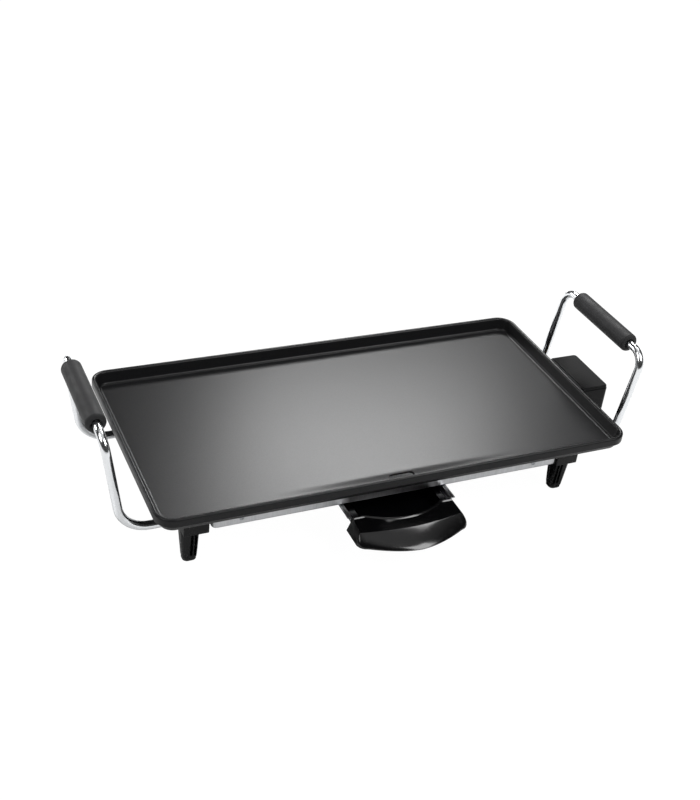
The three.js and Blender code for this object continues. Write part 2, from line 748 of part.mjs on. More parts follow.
// Z-shaped guides under the shield: the tray's flanges ride on their inner lips.
function trayRails() {
  const web = TRAY_HALF_WIDTH + TRAY_FLANGE + 2.5;
  const top = UNDER_CLEARANCE - GAP;
  const bottom = top - RAIL_DROP;
  for (const [end, x] of ENDS) {
    const length = RAIL_FRONT + RAIL_BACK;
    const section = new THREE.Shape();
    section.moveTo(web + RAIL_TOP_FLANGE, top);
    section.lineTo(web, top);
    section.lineTo(web, bottom + SHEET);
    section.lineTo(web - RAIL_LIP, bottom + SHEET);
    section.lineTo(web - RAIL_LIP, bottom);
    section.lineTo(web + SHEET, bottom);
    section.lineTo(web + SHEET, top - SHEET);
    section.lineTo(web + RAIL_TOP_FLANGE, top - SHEET);
    section.closePath();
    const geometry = new THREE.ExtrudeGeometry(section, { depth: length, bevelEnabled: false });
    geometry.rotateX(QUARTER_TURN);
    geometry.translate(0, RAIL_BACK, 0);
    const mesh = place(`tray_rail_${end}`, geometry, BRIGHT_SHEET);
    mesh.scale.x = x;
  }
}

// ---------------------------------------------------------------- heating element

function heatingElement() {
  const z = TUBE_Z;
  const loopEnd = SHIELD_END - TUBE_END_INSET;
  const loopRadius = (TUBE_OUTER_Y - TUBE_INNER_Y) / 2;
  const foldX = SHIELD_END - 62;
  const leadX = SHIELD_END - 14;
  const leadEnd = END - 22;
  const half = [
    new THREE.Vector3(leadEnd, LEAD_Y, z),
    new THREE.Vector3(leadX, LEAD_Y, z),
    new THREE.Vector3(leadX, TUBE_OUTER_Y, z),
    new THREE.Vector3(-loopEnd, TUBE_OUTER_Y, z),
    new THREE.Vector3(-loopEnd, TUBE_INNER_Y, z),
    new THREE.Vector3(foldX, TUBE_INNER_Y, z),
  ];
  const bends = [14, 18, loopRadius, loopRadius, TUBE_INNER_Y - 0.1];
  const mirrored = half.map((point) => new THREE.Vector3(point.x, -point.y, point.z)).reverse();
  const route = bentRoute([...half, ...mirrored], [...bends, ...bends.slice().reverse()]);
  place("heating_element", roundBar(route, TUBE_RADIUS, 100, 4), STEEL);

  for (const [name, y] of [
    ["a", LEAD_Y],
    ["b", -LEAD_Y],
  ]) {
    const pin = geometryOf(cylinderAlongX(1.6, leadEnd + GAP, BOX_INNER + 7, y, z, 10));
    place(`element_terminal_${name}`, pin, TIN_PLATE);
  }

  // Straps that hold the tube up against the plate
  const strap = new THREE.Shape();
  const inner = TUBE_RADIUS + GAP;
  const outer = inner + 1;
  strap.moveTo(outer + 6, TUBE_RADIUS);
  strap.lineTo(inner, TUBE_RADIUS);
  strap.lineTo(inner, 0);
  strap.absarc(0, 0, inner, 0, -HALF_TURN, true);
  strap.lineTo(-inner, TUBE_RADIUS);
  strap.lineTo(-outer - 6, TUBE_RADIUS);
  strap.lineTo(-outer - 6, TUBE_RADIUS - 1);
  strap.lineTo(-outer, TUBE_RADIUS - 1);
  strap.lineTo(-outer, 0);
  strap.absarc(0, 0, outer, -HALF_TURN, 0, false);
  strap.lineTo(outer, TUBE_RADIUS - 1);
  strap.lineTo(outer + 6, TUBE_RADIUS - 1);
  strap.closePath();
  for (const [side, y] of SIDES) {
    for (const [end, x] of ENDS) {
      const geometry = new THREE.ExtrudeGeometry(strap, {
        depth: 10,
        bevelEnabled: false,
        curveSegments: 6,
      });
      geometry.rotateX(QUARTER_TURN);
      geometry.rotateZ(QUARTER_TURN);
      const clip = place(`element_clip_${side}_${end}`, geometry, BRIGHT_SHEET);
      clip.position.set(x * CLIP_X - 5, y * TUBE_OUTER_Y, z);
    }
  }
}

// ---------------------------------------------------------------- control box

function controlBox() {
  const middleX = (BOX_INNER + BOX_OUTER) / 2;
  const length = BOX_OUTER - BOX_INNER;
  let cover = prism(
    roundedRectangle(length, 2 * BOX_HALF_WIDTH, BOX_CORNER),
    BOX_BOTTOM,
    BOX_TOP,
  ).translate(middleX, 0, 0);
  const hollow = prism(
    roundedRectangle(length - 2 * SHELL, 2 * (BOX_HALF_WIDTH - SHELL), BOX_CORNER - SHELL),
    BOX_BOTTOM - 1,
    BOX_TOP - SHELL,
  ).translate(middleX, 0, 0);
  cover = cover.subtract(hollow);
  for (const y of [-BOX_BOSS_Y, BOX_BOSS_Y]) {
    const bossBottom = BOX_BOTTOM + SHELL + GAP;
    cover = cover.add(cylinder(BOX_BOSS_RADIUS, bossBottom, BOX_BOSS_TOP, BOX_BOSS_X, y, 12));
    cover = cover.subtract(
      cylinder(HOLE_RADIUS, bossBottom - 1, BOX_BOSS_TOP - 1.5, BOX_BOSS_X, y, 10),
    );
  }
  // Doorway for the neck, the element's terminals and the thermostat bulb
  const doorHalf = BOX_HALF_WIDTH - SHELL;
  cover = cover.subtract(
    block(BOX_INNER - 2, BOX_INNER + BOX_CORNER, -doorHalf, doorHalf, BOX_BOTTOM - 1, SKIRT_BOTTOM),
  );
  cover = cover.subtract(
    cylinderAlongX(SHAFT_RADIUS + GAP, BOX_OUTER - 6, BOX_OUTER + 1, DIAL_Y, DIAL_HEIGHT),
  );
  cover = cover.subtract(
    cylinderAlongX(LAMP_RADIUS - 0.5 + GAP, BOX_OUTER - 6, BOX_OUTER + 1, LAMP_Y, LAMP_HEIGHT),
  );
  cover = cover.subtract(
    block(
      INLET_X - INLET_OUTER_HALF_X - GAP,
      INLET_X + INLET_OUTER_HALF_X + GAP,
      BOX_HALF_WIDTH - 6,
      BOX_HALF_WIDTH + 1,
      INLET_Z - INLET_OUTER_HALF_Z - GAP,
      INLET_Z + INLET_OUTER_HALF_Z + GAP,
    ),
  );
  place("control_box_cover", geometryOf(cover), MATT_BLACK);

  // Base: the floor of the box and a trough that reaches under the plate to the shield
  const baseHalf = BOX_HALF_WIDTH - SHELL - GAP;
  const baseOuter = BOX_OUTER - SHELL - GAP;
  const wallTop = TUBE_Z - TUBE_RADIUS - 2;
  let base = block(NECK_END, baseOuter, -baseHalf, baseHalf, BOX_BOTTOM, BOX_BOTTOM + SHELL);
  base = base.add(block(NECK_END, NECK_END + SHELL, -baseHalf, baseHalf, BOX_BOTTOM, wallTop));
  for (const y of [-1, 1]) {
    const wallY = [y * baseHalf, y * (baseHalf - SHELL)].sort((a, b) => a - b);
    base = base.add(block(NECK_END, BOX_INNER - 1, wallY[0], wallY[1], BOX_BOTTOM, wallTop));
    base = base.subtract(
      cylinder(HOLE_RADIUS, BOX_BOTTOM - 1, BOX_BOTTOM + SHELL + 1, NECK_POST_X, y * NECK_POST_Y, 10),
    );
    base = base.subtract(
      cylinder(HOLE_RADIUS, BOX_BOTTOM - 1, BOX_BOTTOM + SHELL + 1, BOX_BOSS_X, y * BOX_BOSS_Y, 10),
    );
  }
  // The corners of the floor clear the cover's rounded inside corners.
  for (const y of [-1, 1]) {
    const corner = [y * (baseHalf - 3), y * (baseHalf + 1)].sort((a, b) => a - b);
    base = base.subtract(
      block(baseOuter - 3, baseOuter + 1, corner[0], corner[1], BOX_BOTTOM - 1, BOX_BOTTOM + SHELL + 1),
    );
  }
  place("control_box_base", geometryOf(base), MATT_BLACK);

  for (const [side, y] of SIDES) {
    const neckScrew = place(`neck_screw_${side}`, screwGeometry(SCREW_LENGTH), STEEL);
    neckScrew.position.set(NECK_POST_X, y * NECK_POST_Y, BOX_BOTTOM - GAP);
    const boxScrew = place(`box_screw_${side}`, screwGeometry(BOX_SCREW_LENGTH), STEEL);
    boxScrew.position.set(BOX_BOSS_X, y * BOX_BOSS_Y, BOX_BOTTOM - GAP);
  }
}

function thermostat() {
  const bodyOuter = BOX_OUTER - SHELL - 2;
  const bodyInner = bodyOuter - 17;
  let body = block(
    bodyInner,
    bodyOuter,
    DIAL_Y - 11,
    DIAL_Y + 11,
    DIAL_HEIGHT - 12,
    DIAL_HEIGHT + 12,
  );
  body = body.subtract(
    cylinderAlongX(SHAFT_RADIUS + GAP, bodyInner + 6, bodyOuter + 1, DIAL_Y, DIAL_HEIGHT),
  );
  place("thermostat_body", geometryOf(body), CERAMIC);

  const shaft = cylinderAlongX(
    SHAFT_RADIUS,
    bodyInner + 6 + GAP,
    BOX_OUTER + 6,
    DIAL_Y,
    DIAL_HEIGHT,
  );
  place("thermostat_shaft", geometryOf(shaft), BRASS);

  const dialFace = BOX_OUTER + 0.5;
  let dial = cylinderAlongX(DIAL_RADIUS, dialFace, dialFace + DIAL_THICKNESS, DIAL_Y, DIAL_HEIGHT, 28);
  const bar = block(
    dialFace + DIAL_THICKNESS - 4.5,
    dialFace + DIAL_THICKNESS + 1,
    DIAL_Y + 3,
    DIAL_Y + DIAL_RADIUS + 1,
    DIAL_HEIGHT - DIAL_RADIUS,
    DIAL_HEIGHT + DIAL_RADIUS,
  );
  const otherBar = block(
    dialFace + DIAL_THICKNESS - 4.5,
    dialFace + DIAL_THICKNESS + 1,
    DIAL_Y - DIAL_RADIUS - 1,
    DIAL_Y - 3,
    DIAL_HEIGHT - DIAL_RADIUS,
    DIAL_HEIGHT + DIAL_RADIUS,
  );
  dial = dial.subtract(bar).subtract(otherBar);
  dial = dial.subtract(
    cylinderAlongX(SHAFT_RADIUS + GAP, dialFace - 1, BOX_OUTER + 6 + GAP, DIAL_Y, DIAL_HEIGHT),
  );
  place("temperature_dial", geometryOf(dial), GLOSS_BLACK);

  // Sensing bulb against the plate, with its fine tube back to the thermostat
  const bulbOuter = END - 34;
  const bulbInner = SHIELD_END - 56;
  const bulbZ = UNDERSIDE - GAP - 2.5;
  const bulb = cylinderAlongX(2.5, bulbInner, bulbOuter, 0, bulbZ, 10);
  const route = bentRoute(
    [
      new THREE.Vector3(bulbOuter - 1, 0, bulbZ),
      new THREE.Vector3(bulbOuter + 10, 0, bulbZ),
      new THREE.Vector3(bodyInner - 4, DIAL_Y, DIAL_HEIGHT),
      new THREE.Vector3(bodyInner - GAP, DIAL_Y, DIAL_HEIGHT),
    ],
    [4, 2.5],
  );
  const capillary = solid(roundBar(route, 0.9, 24, 3));
  place("thermostat_bulb", geometryOf(bulb.add(capillary)), BRASS);
}

function pilotLamp() {
  const lens = turned([
    [0, -6],
    [LAMP_RADIUS - 0.5, -6],
    [LAMP_RADIUS - 0.5, GAP],
    [LAMP_RADIUS + 0.8, GAP],
    [LAMP_RADIUS, 1.1],
    [0, 1.6],
  ], 16);
  lens.rotateY(QUARTER_TURN);
  const mesh = place("pilot_lamp_lens", lens, AMBER);
  mesh.position.set(BOX_OUTER, LAMP_Y, LAMP_HEIGHT);
}

function inlet() {
  const face = BOX_HALF_WIDTH + GAP;
  const bodyBack = face - INLET_DEPTH - 2;
  let housing = block(
    INLET_X - INLET_OUTER_HALF_X,
    INLET_X + INLET_OUTER_HALF_X,
    bodyBack,
    face + 1,
    INLET_Z - INLET_OUTER_HALF_Z,
    INLET_Z + INLET_OUTER_HALF_Z,
  );
  housing = housing.add(
    block(
      INLET_X - INLET_OUTER_HALF_X - INLET_FLANGE + 1,
      INLET_X + INLET_OUTER_HALF_X + INLET_FLANGE - 1,
      face,
      face + 2,
      INLET_Z - INLET_OUTER_HALF_Z - INLET_FLANGE,
      INLET_Z + INLET_OUTER_HALF_Z + INLET_FLANGE,
    ),
  );
  housing = housing.subtract(
    block(
      INLET_X - INLET_WIDTH / 2,
      INLET_X + INLET_WIDTH / 2,
      bodyBack + 2,
      face + 3,
      INLET_Z - INLET_HEIGHT / 2,
      INLET_Z + INLET_HEIGHT / 2,
    ),
  );
  for (const [name, x, z] of [
    ["line", -7, -2],
    ["neutral", 7, -2],
    ["earth", 0, 2],
  ]) {
    const pinX = INLET_X + x;
    const pinZ = INLET_Z + z;
    housing = housing.subtract(
      block(pinX - 1 - GAP, pinX + 1 + GAP, bodyBack - 1, bodyBack + 3, pinZ - 2 - GAP, pinZ + 2 + GAP),
    );
    const pin = block(pinX - 1, pinX + 1, bodyBack - 4, bodyBack + 2 + PIN_LENGTH, pinZ - 2, pinZ + 2);
    place(`inlet_pin_${name}`, geometryOf(pin), BRASS);
  }
  place("inlet_housing", geometryOf(housing), MATT_BLACK);
}

// ---------------------------------------------------------------- assembly

cookingPlate();
heatShield();
feet();
handles();
trayRails();
dripTray();
trayHandle();
heatingElement();
controlBox();
thermostat();
pilotLamp();
inlet();

// The origin stands under the middle of the whole object, at the worktop.
griddle.position.y = HANDLE_REACH / 2;

export default griddle;
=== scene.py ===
"""Electric griddle: a non-stick cast plate on moulded feet, with wire handles and a drip tray.

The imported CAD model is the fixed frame. The pieces made here are placed from its boxes.
Shapes are drawn in millimetres and turned to metres as each piece is finished.
"""

import json
import math

import bmesh
import bpy
from bpy.props import FloatProperty, IntProperty, PointerProperty, StringProperty
from mathutils import Matrix, Vector


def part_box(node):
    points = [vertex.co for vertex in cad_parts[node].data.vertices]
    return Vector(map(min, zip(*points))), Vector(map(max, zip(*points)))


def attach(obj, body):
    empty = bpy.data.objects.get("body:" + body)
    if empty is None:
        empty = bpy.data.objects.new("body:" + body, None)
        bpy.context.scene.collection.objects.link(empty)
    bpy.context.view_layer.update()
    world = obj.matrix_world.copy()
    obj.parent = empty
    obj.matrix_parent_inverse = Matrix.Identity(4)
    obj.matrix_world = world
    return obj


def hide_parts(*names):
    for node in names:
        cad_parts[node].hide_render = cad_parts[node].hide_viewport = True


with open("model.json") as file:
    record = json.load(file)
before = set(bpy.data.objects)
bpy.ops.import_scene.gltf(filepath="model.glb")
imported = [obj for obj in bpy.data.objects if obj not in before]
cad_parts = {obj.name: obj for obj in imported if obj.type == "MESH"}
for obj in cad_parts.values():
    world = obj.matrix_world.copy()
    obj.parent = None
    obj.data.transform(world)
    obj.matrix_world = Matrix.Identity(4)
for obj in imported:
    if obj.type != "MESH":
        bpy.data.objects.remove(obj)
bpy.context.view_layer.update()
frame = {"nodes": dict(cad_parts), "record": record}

bl_info = {
    "name": "Electric griddle",
    "version": (1, 0, 0),
    "blender": (4, 5, 0),
    "location": "3D View > Sidebar > Griddle",
    "description": "Builds a table griddle around its CAD frame",
    "category": "Object",
}

MM = 0.001
SIDES = ("front", "back")
ENDS = ("left", "right")
CORNERS = tuple((side, end) for side in SIDES for end in ENDS)
X_AXIS = Vector((1, 0, 0))
Y_AXIS = Vector((0, 1, 0))
Z_AXIS = Vector((0, 0, 1))
TURN_FROM_Z = {
    "+X": Matrix.Rotation(math.radians(90), 3, "Y"),
    "-X": Matrix.Rotation(math.radians(-90), 3, "Y"),
    "+Y": Matrix.Rotation(math.radians(-90), 3, "X"),
    "-Y": Matrix.Rotation(math.radians(90), 3, "X"),
    "+Z": Matrix.Identity(3),
    "-Z": Matrix.Rotation(math.radians(180), 3, "X"),
}

# The tray's front bows out by this much over half its width.
TRAY_BOW = 13
TRAY_HALF = 47
TRAY_STEPS = 24

# The drip slot through the plate's floor, measured from the plate's front.
SLOT_HALF = 14
SLOT_FRONT = 11
SLOT_BACK = 25
SLOT_CORNER = 4

# The camera stands ahead and to the left of the griddle and is rolled a little.
CAMERA_PLACE = Vector((-0.524306, -0.974755, 0.826184))
CAMERA_RIGHT = Vector((0.9122, -0.3976, 0.0995))
CAMERA_FORWARD = Vector((0.3844, 0.7457, -0.5443))
CAMERA_LENS = 55.987

FLOOR_REACH = 2.8
# Name, place, target, width and height, and the property that holds the power.
LIGHTS = (
    ("Back light", (0.8, 1.5, 1.45), (0, 0, 0.08), (0.72, 0.44), "back_power"),
    ("Front light", (0.85, -1.2, 1.62), (0, -0.15, 0.04), (1.0, 0.9), "front_power"),
    ("Key light", (-1.7, -0.4, 1.7), (0, 0, 0.05), (1.2, 1.2), "key_power"),
    ("Top light", (0.84, 0.58, 1.95), (0, -0.13, 0.04), (0.9, 0.2), "top_power"),
    ("Side light", (-1.3, 1.75, 0.75), (0.2, 0, 0.08), (1.2, 0.5), "side_power"),
)


# ------------------------------------------------------------------ sizes and colours


def colour_property(name, description, default):
    return StringProperty(name=name, description=description, default=default)


def length_property(name, description, millimetres):
    return FloatProperty(
        name=name,
        description=description,
        default=millimetres * MM,
        min=0,
        precision=4,
        subtype="DISTANCE",
        unit="LENGTH",
    )


def power_property(name, description, watts):
    return FloatProperty(name=name, description=description, default=watts, min=0, unit="POWER")


class GriddleShapes(bpy.types.PropertyGroup):
    """Sizes of the details that the CAD model leaves square."""

    plate_corner: length_property("Plate corner", "Radius of the plate's corners in plan", 19)
    rim_lip: length_property("Rim lip", "Flat top of the rim", 4.5)
    rim_slope: length_property("Rim slope", "How far the inner wall leans in", 3.5)
    basin_depth: length_property("Basin depth", "Rim above the cooking surface", 14)
    skirt_height: length_property("Skirt height", "Straight outer face of the rim", 9.4)
    channel_depth: length_property("Channel depth", "Dip of the floor that leads to the slot", 1.4)
    wire_radius: length_property("Wire radius", "Half the thickness of the handle wire", 4.5)
    lower_bend: length_property("Lower bend", "Bend radius at the foot of a handle", 32)
    upper_bend: length_property("Upper bend", "Bend radius at the ends of a grip", 18)
    grip_edge: length_property("Grip edge", "Rounding of a grip's ends", 3.4)
    sheet: length_property("Sheet", "Thickness of the sheet metal", 1.2)
    fold: length_property("Fold radius", "Outside radius of the folds in the sheet metal", 2.2)
    handle_edge: length_property("Tray handle edge", "Rounding of the tray handle's edges", 1.5)
    box_edge: length_property("Box edge", "Rounding of the control box's top edges", 1.6)
    flutes: IntProperty(name="Dial flutes", description="Hollows round the dial", default=18, min=6)

    def mm(self, name):
        """A length in millimetres."""
        return round(getattr(self, name) / MM, 3)


class GriddleColours(bpy.types.PropertyGroup):
    """Colours as sRGB hex values."""

    coating_dark: colour_property("Coating, dark", "Pits of the non-stick coating", "#121213")
    coating_light: colour_property("Coating, light", "High spots of the non-stick coating", "#1D1D1E")
    chrome: colour_property("Chrome", "Plated wire", "#E4E6E8")
    sheet_metal: colour_property("Sheet metal", "Brushed sheet steel", "#CDCED0")
    zinc: colour_property("Zinc", "Zinc-plated screws", "#A9ABAF")
    enamel: colour_property("Enamel", "Drip tray", "#08080A")
    gloss_plastic: colour_property("Gloss plastic", "Tray handle and dial", "#070708")
    moulded_plastic: colour_property("Moulded plastic", "Feet", "#0E0E0F")
    box_plastic: colour_property("Box plastic", "Control box", "#0B0B0C")
    grip_rubber: colour_property("Grip rubber", "Hand grips", "#232324")
    pad_rubber: colour_property("Pad rubber", "Pads under the feet", "#141414")
    brass: colour_property("Brass", "Pins and shaft", "#B8954E")
    ceramic: colour_property("Ceramic", "Thermostat body", "#CFC8B6")
    lamp: colour_property("Lamp", "Pilot lamp lens", "#D8481A")


class GriddleStage(bpy.types.PropertyGroup):
    """Floor and light."""

    floor_tone: colour_property("Floor", "Plain floor", "#E2E2E2")
    back_power: power_property("Back light", "Light that the cooking surface reflects", 31)
    front_power: power_property("Front light", "Light ahead and to the right", 26)
    key_power: power_property("Key light", "Large light above the left", 22)
    top_power: power_property("Top light", "Narrow light overhead", 6)
    side_power: power_property("Side light", "Low light at the back left", 16)
    air_light: FloatProperty(name="Air light", description="Even light", default=0.05, min=0)


# ------------------------------------------------------------------ shapes, in millimetres


def box_mm(node):
    """Lowest and highest corner of a CAD node."""
    low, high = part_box(node)
    return low / MM, high / MM


def centre_mm(node):
    """Middle of a CAD node's box."""
    low, high = box_mm(node)
    return (low + high) / 2


def round_edges(bm, edges, radius, steps=3):
    bmesh.ops.bevel(
        bm,
        geom=list(edges),
        offset=radius,
        offset_type="OFFSET",
        affect="EDGES",
        segments=steps,
        profile=0.5,
        material=-1,
        clamp_overlap=True,
    )


def edges_along(bm, axis):
    """Edges that run along an axis."""
    return [e for e in bm.edges if abs((e.verts[1].co - e.verts[0].co).normalized().dot(axis)) > 0.999]


def edges_at(bm, index, value, reach=0.02, angle=12):
    """Edges that lie at one height on an axis and have a corner at them."""
    found = []
    for edge in bm.edges:
        level = all(abs(v.co[index] - value) < reach for v in edge.verts)
        if level and len(edge.link_faces) == 2 and edge.calc_face_angle(0) > math.radians(angle):
            found.append(edge)
    return found


def slab(low, high, corner=0, corner_steps=8, axis=Z_AXIS):
    """A block whose edges along one axis are rounded."""
    bm = bmesh.new()
    bmesh.ops.create_cube(bm, size=1)
    low, high = Vector(low), Vector(high)
    bmesh.ops.scale(bm, vec=high - low, verts=bm.verts)
    bmesh.ops.translate(bm, vec=(low + high) / 2, verts=bm.verts)
    if corner:
        round_edges(bm, edges_along(bm, axis), corner, corner_steps)
    return bm


def drum(radius, length, place, pointing="+Z", sides=32):
    """A round bar from a place, pointing along an axis."""
    bm = bmesh.new()
    bmesh.ops.create_cone(bm, cap_ends=True, segments=sides, radius1=radius, radius2=radius, depth=length)
    bmesh.ops.translate(bm, vec=(0, 0, length / 2), verts=bm.verts)
    return stood(bm, place, pointing)


def stood(bm, place, pointing="+Z"):
    """The shape turned from +Z to another axis and moved to its place."""
    bmesh.ops.transform(bm, matrix=TURN_FROM_Z[pointing].to_4x4(), verts=bm.verts)
    bmesh.ops.translate(bm, vec=place, verts=bm.verts)
    return bm


def turned(profile, place=(0, 0, 0), pointing="+Z", steps=32):
    """A turned shape from [radius, height] pairs."""
    bm = bmesh.new()
    verts = [bm.verts.new((radius, 0, height)) for radius, height in profile]
    edges = [bm.edges.new(pair) for pair in zip(verts, verts[1:])]
    bmesh.ops.spin(
        bm,
        geom=verts + edges,
        cent=(0, 0, 0),
        axis=(0, 0, 1),
        dvec=(0, 0, 0),
        angle=math.tau,
        steps=steps,
        use_merge=True,
        use_duplicate=False,
    )
    bmesh.ops.remove_doubles(bm, verts=bm.verts, dist=0.002)
    bmesh.ops.recalc_face_normals(bm, faces=bm.faces)
    return stood(bm, place, pointing)


def wire(route, bends, radius, sides=24, bend_steps=12):
    """A round bar along straight runs joined by round bends."""
    bm = bmesh.new()
    route = [Vector(point) for point in route]
    heading = (route[1] - route[0]).normalized()
    bmesh.ops.create_circle(bm, cap_ends=False, segments=sides, radius=radius)
    bmesh.ops.transform(bm, matrix=heading.to_track_quat("Z", "Y").to_matrix().to_4x4(), verts=bm.verts)
    bmesh.ops.translate(bm, vec=route[0], verts=bm.verts)
    ring = list(bm.edges)
    place = route[0]
    for corner, following, bend in zip(route[1:], route[2:], bends):
        incoming = (corner - place).normalized()
        outgoing = (following - corner).normalized()
        turn = incoming.angle(outgoing)
        reach = bend * math.tan(turn / 2)
        start = corner - incoming * reach
        ring = drawn_out(bm, ring, start - place)
        axis = incoming.cross(outgoing).normalized()
        made = bmesh.ops.spin(
            bm,
            geom=sorted({v for e in ring for v in e.verts}, key=lambda v: v.index) + ring,
            cent=start + axis.cross(incoming) * bend,
            axis=axis,
            dvec=(0, 0, 0),
            angle=turn,
            steps=bend_steps,
            use_duplicate=False,
        )
        ring = [part for part in made["geom_last"] if isinstance(part, bmesh.types.BMEdge)]
        place = corner + outgoing * reach
    drawn_out(bm, ring, route[-1] - place)
    bmesh.ops.holes_fill(bm, edges=[e for e in bm.edges if e.is_boundary], sides=0)
    bmesh.ops.recalc_face_normals(bm, faces=bm.faces)
    return bm


def drawn_out(bm, ring, step):
    """Extrudes a ring of edges by a step and gives the new ring."""
    bm.verts.index_update()
    made = bmesh.ops.extrude_edge_only(bm, edges=ring)
    verts = [part for part in made["geom"] if isinstance(part, bmesh.types.BMVert)]
    bmesh.ops.translate(bm, vec=step, verts=verts)
    bm.verts.index_update()
    moved = set(verts)
    return [
        part
        for part in made["geom"]
        if isinstance(part, bmesh.types.BMEdge) and all(v in moved for v in part.verts)
    ]


def together(*shapes):
    """Separate shapes in one."""
    whole = bmesh.new()
    for shape in shapes:
        mesh = bpy.data.meshes.new("part")
        shape.to_mesh(mesh)
        shape.free()
        whole.from_mesh(mesh)
        bpy.data.meshes.remove(mesh)
    return whole


def combined(shape, *tools, operation="DIFFERENCE"):
    """The shape with the tools cut out of it, or joined to it."""
    scene = bpy.context.scene
    objects = []
    for source in (shape, *tools):
        bmesh.ops.recalc_face_normals(source, faces=source.faces)
        mesh = bpy.data.meshes.new("part")
        source.to_mesh(mesh)
        source.free()
        objects.append(bpy.data.objects.new("part", mesh))
        scene.collection.objects.link(objects[-1])
    for tool in objects[1:]:
        modifier = objects[0].modifiers.new("Cut", "BOOLEAN")
        modifier.operation = operation
        modifier.solver = "EXACT"
        modifier.object = tool
    graph = bpy.context.evaluated_depsgraph_get()
    mesh = bpy.data.meshes.new_from_object(objects[0].evaluated_get(graph))
    result = bmesh.new()
    result.from_mesh(mesh)
    bpy.data.meshes.remove(mesh)
    for part in objects:
        mesh = part.data
        bpy.data.objects.remove(part)
        bpy.data.meshes.remove(mesh)
    bmesh.ops.remove_doubles(result, verts=result.verts, dist=0.002)
    return result


def scaled(bm, factors):
    """The shape stretched or mirrored about its origin."""
    bmesh.ops.scale(bm, vec=factors, verts=bm.verts)
    return bm


def finish_piece(name, bm, material, body="root", stands_for=(), crease=38):
    """Makes the object: metres, outward faces, smooth where it curves, and its place in the frame."""
    bmesh.ops.recalc_face_normals(bm, faces=bm.faces)
    bmesh.ops.scale(bm, vec=(MM, MM, MM), verts=bm.verts)
    mesh = bpy.data.meshes.new(name)
    bm.to_mesh(mesh)
    bm.free()
    if not mesh.polygons:
        raise RuntimeError(f"{name} came out empty")
    mesh.polygons.foreach_set("use_smooth", [True] * len(mesh.polygons))
    mesh.set_sharp_from_angle(angle=math.radians(crease))
    mesh.materials.append(material)
    piece = bpy.data.objects.new(name, mesh)
    bpy.context.scene.collection.objects.link(piece)
    shading = piece.modifiers.new("Even shading", "WEIGHTED_NORMAL")
    shading.keep_sharp = True
    shading.weight = 90
    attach(piece, body)
    if stands_for:
        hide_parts(*stands_for)
    return piece


# ------------------------------------------------------------------ materials


def linear(hex_colour):
    """sRGB hex to a linear colour."""
    channels = [int(hex_colour[i : i + 2], 16) / 255 for i in (1, 3, 5)]
    return tuple(c / 12.92 if c <= 0.04045 else ((c + 0.055) / 1.055) ** 2.4 for c in channels) + (1,)


def tint(hex_colour, factor):
    """A linear colour made darker or lighter."""
    return tuple(min(1, channel * factor) for channel in linear(hex_colour)[:3]) + (1,)


def per_mm(size):
    """Texture scale that gives features of a size in millimetres."""
    return 1 / (size * MM)


def add_node(tree, kind, settings=None, inputs=None):
    """Adds a node with its settings, values and links."""
    node = tree.nodes.new(kind)
    for name, value in (settings or {}).items():
        setattr(node, name, value)
    for socket, value in (inputs or {}).items():
        if isinstance(value, bpy.types.NodeSocket):
            tree.links.new(value, node.inputs[socket])
        else:
            node.inputs[socket].default_value = value
    return node


def ranged(tree, value, low, high, start=0.3, end=0.7):
    """A texture's middle range spread between two values."""
    inputs = {"Value": value, "From Min": start, "From Max": end, "To Min": low, "To Max": high}
    return add_node(tree, "ShaderNodeMapRange", None, inputs).outputs["Result"]


def between(tree, factor, first, second):
    """A colour between two, by a texture."""
    node = add_node(tree, "ShaderNodeMix", {"data_type": "RGBA"}, {0: factor, 6: first, 7: second})
    return node.outputs[2]


def mottled(tree, factor, hex_colour, dark, light=1):
    """A colour that a texture makes darker and lighter."""
    return between(tree, factor, tint(hex_colour, dark), tint(hex_colour, light))


def noise(tree, size, detail=2.0, stretch=None, roughness=0.5):
    """Cloudy texture of a real feature size on object coordinates."""
    vector = add_node(tree, "ShaderNodeTexCoord").outputs["Object"]
    if stretch:
        mapping = add_node(tree, "ShaderNodeMapping", None, {"Vector": vector, "Scale": stretch})
        vector = mapping.outputs["Vector"]
    inputs = {"Vector": vector, "Scale": per_mm(size), "Detail": detail, "Roughness": roughness}
    return add_node(tree, "ShaderNodeTexNoise", None, inputs).outputs["Fac"]


def bumped(tree, height, depth, strength=1.0):
    """Bump of a depth in millimetres."""
    inputs = {"Height": height, "Distance": depth * MM, "Strength": strength}
    return add_node(tree, "ShaderNodeBump", None, inputs).outputs["Normal"]


def surfaced(name):
    """Makes a material once, whose surface node takes the inputs that the function gives."""

    def wrap(build):
        def made():
            material = bpy.data.materials.get(name)
            if material is None:
                material = bpy.data.materials.new(name)
                material.use_nodes = True
                tree = material.node_tree
                tree.nodes.clear()
                surface = add_node(tree, "ShaderNodeBsdfPrincipled", None, build(tree))
                add_node(tree, "ShaderNodeOutputMaterial", None, {"Surface": surface.outputs["BSDF"]})
            return material

        return made

    return wrap


@surfaced("Non-stick coating, sprayed")
def non_stick_coating(tree):
    """Sprayed PTFE on cast aluminium: near black, pebbled, with a broad soft gloss."""
    colours = bpy.context.scene.griddle_colours
    # The spray's pebbles are about 0.3 mm across, drawn at 1.3 mm so that they show.
    pebble = noise(tree, 1.3, 3, roughness=0.6)
    mottle = noise(tree, 7, 2)
    dark, light = linear(colours.coating_dark), linear(colours.coating_light)
    return {
        "Base Color": between(tree, ranged(tree, pebble, 0, 1), dark, light),
        "Roughness": ranged(tree, mottle, 0.3, 0.315),
        "Specular IOR Level": 0.16,
        "Normal": bumped(tree, pebble, 0.05, 0.25),
    }


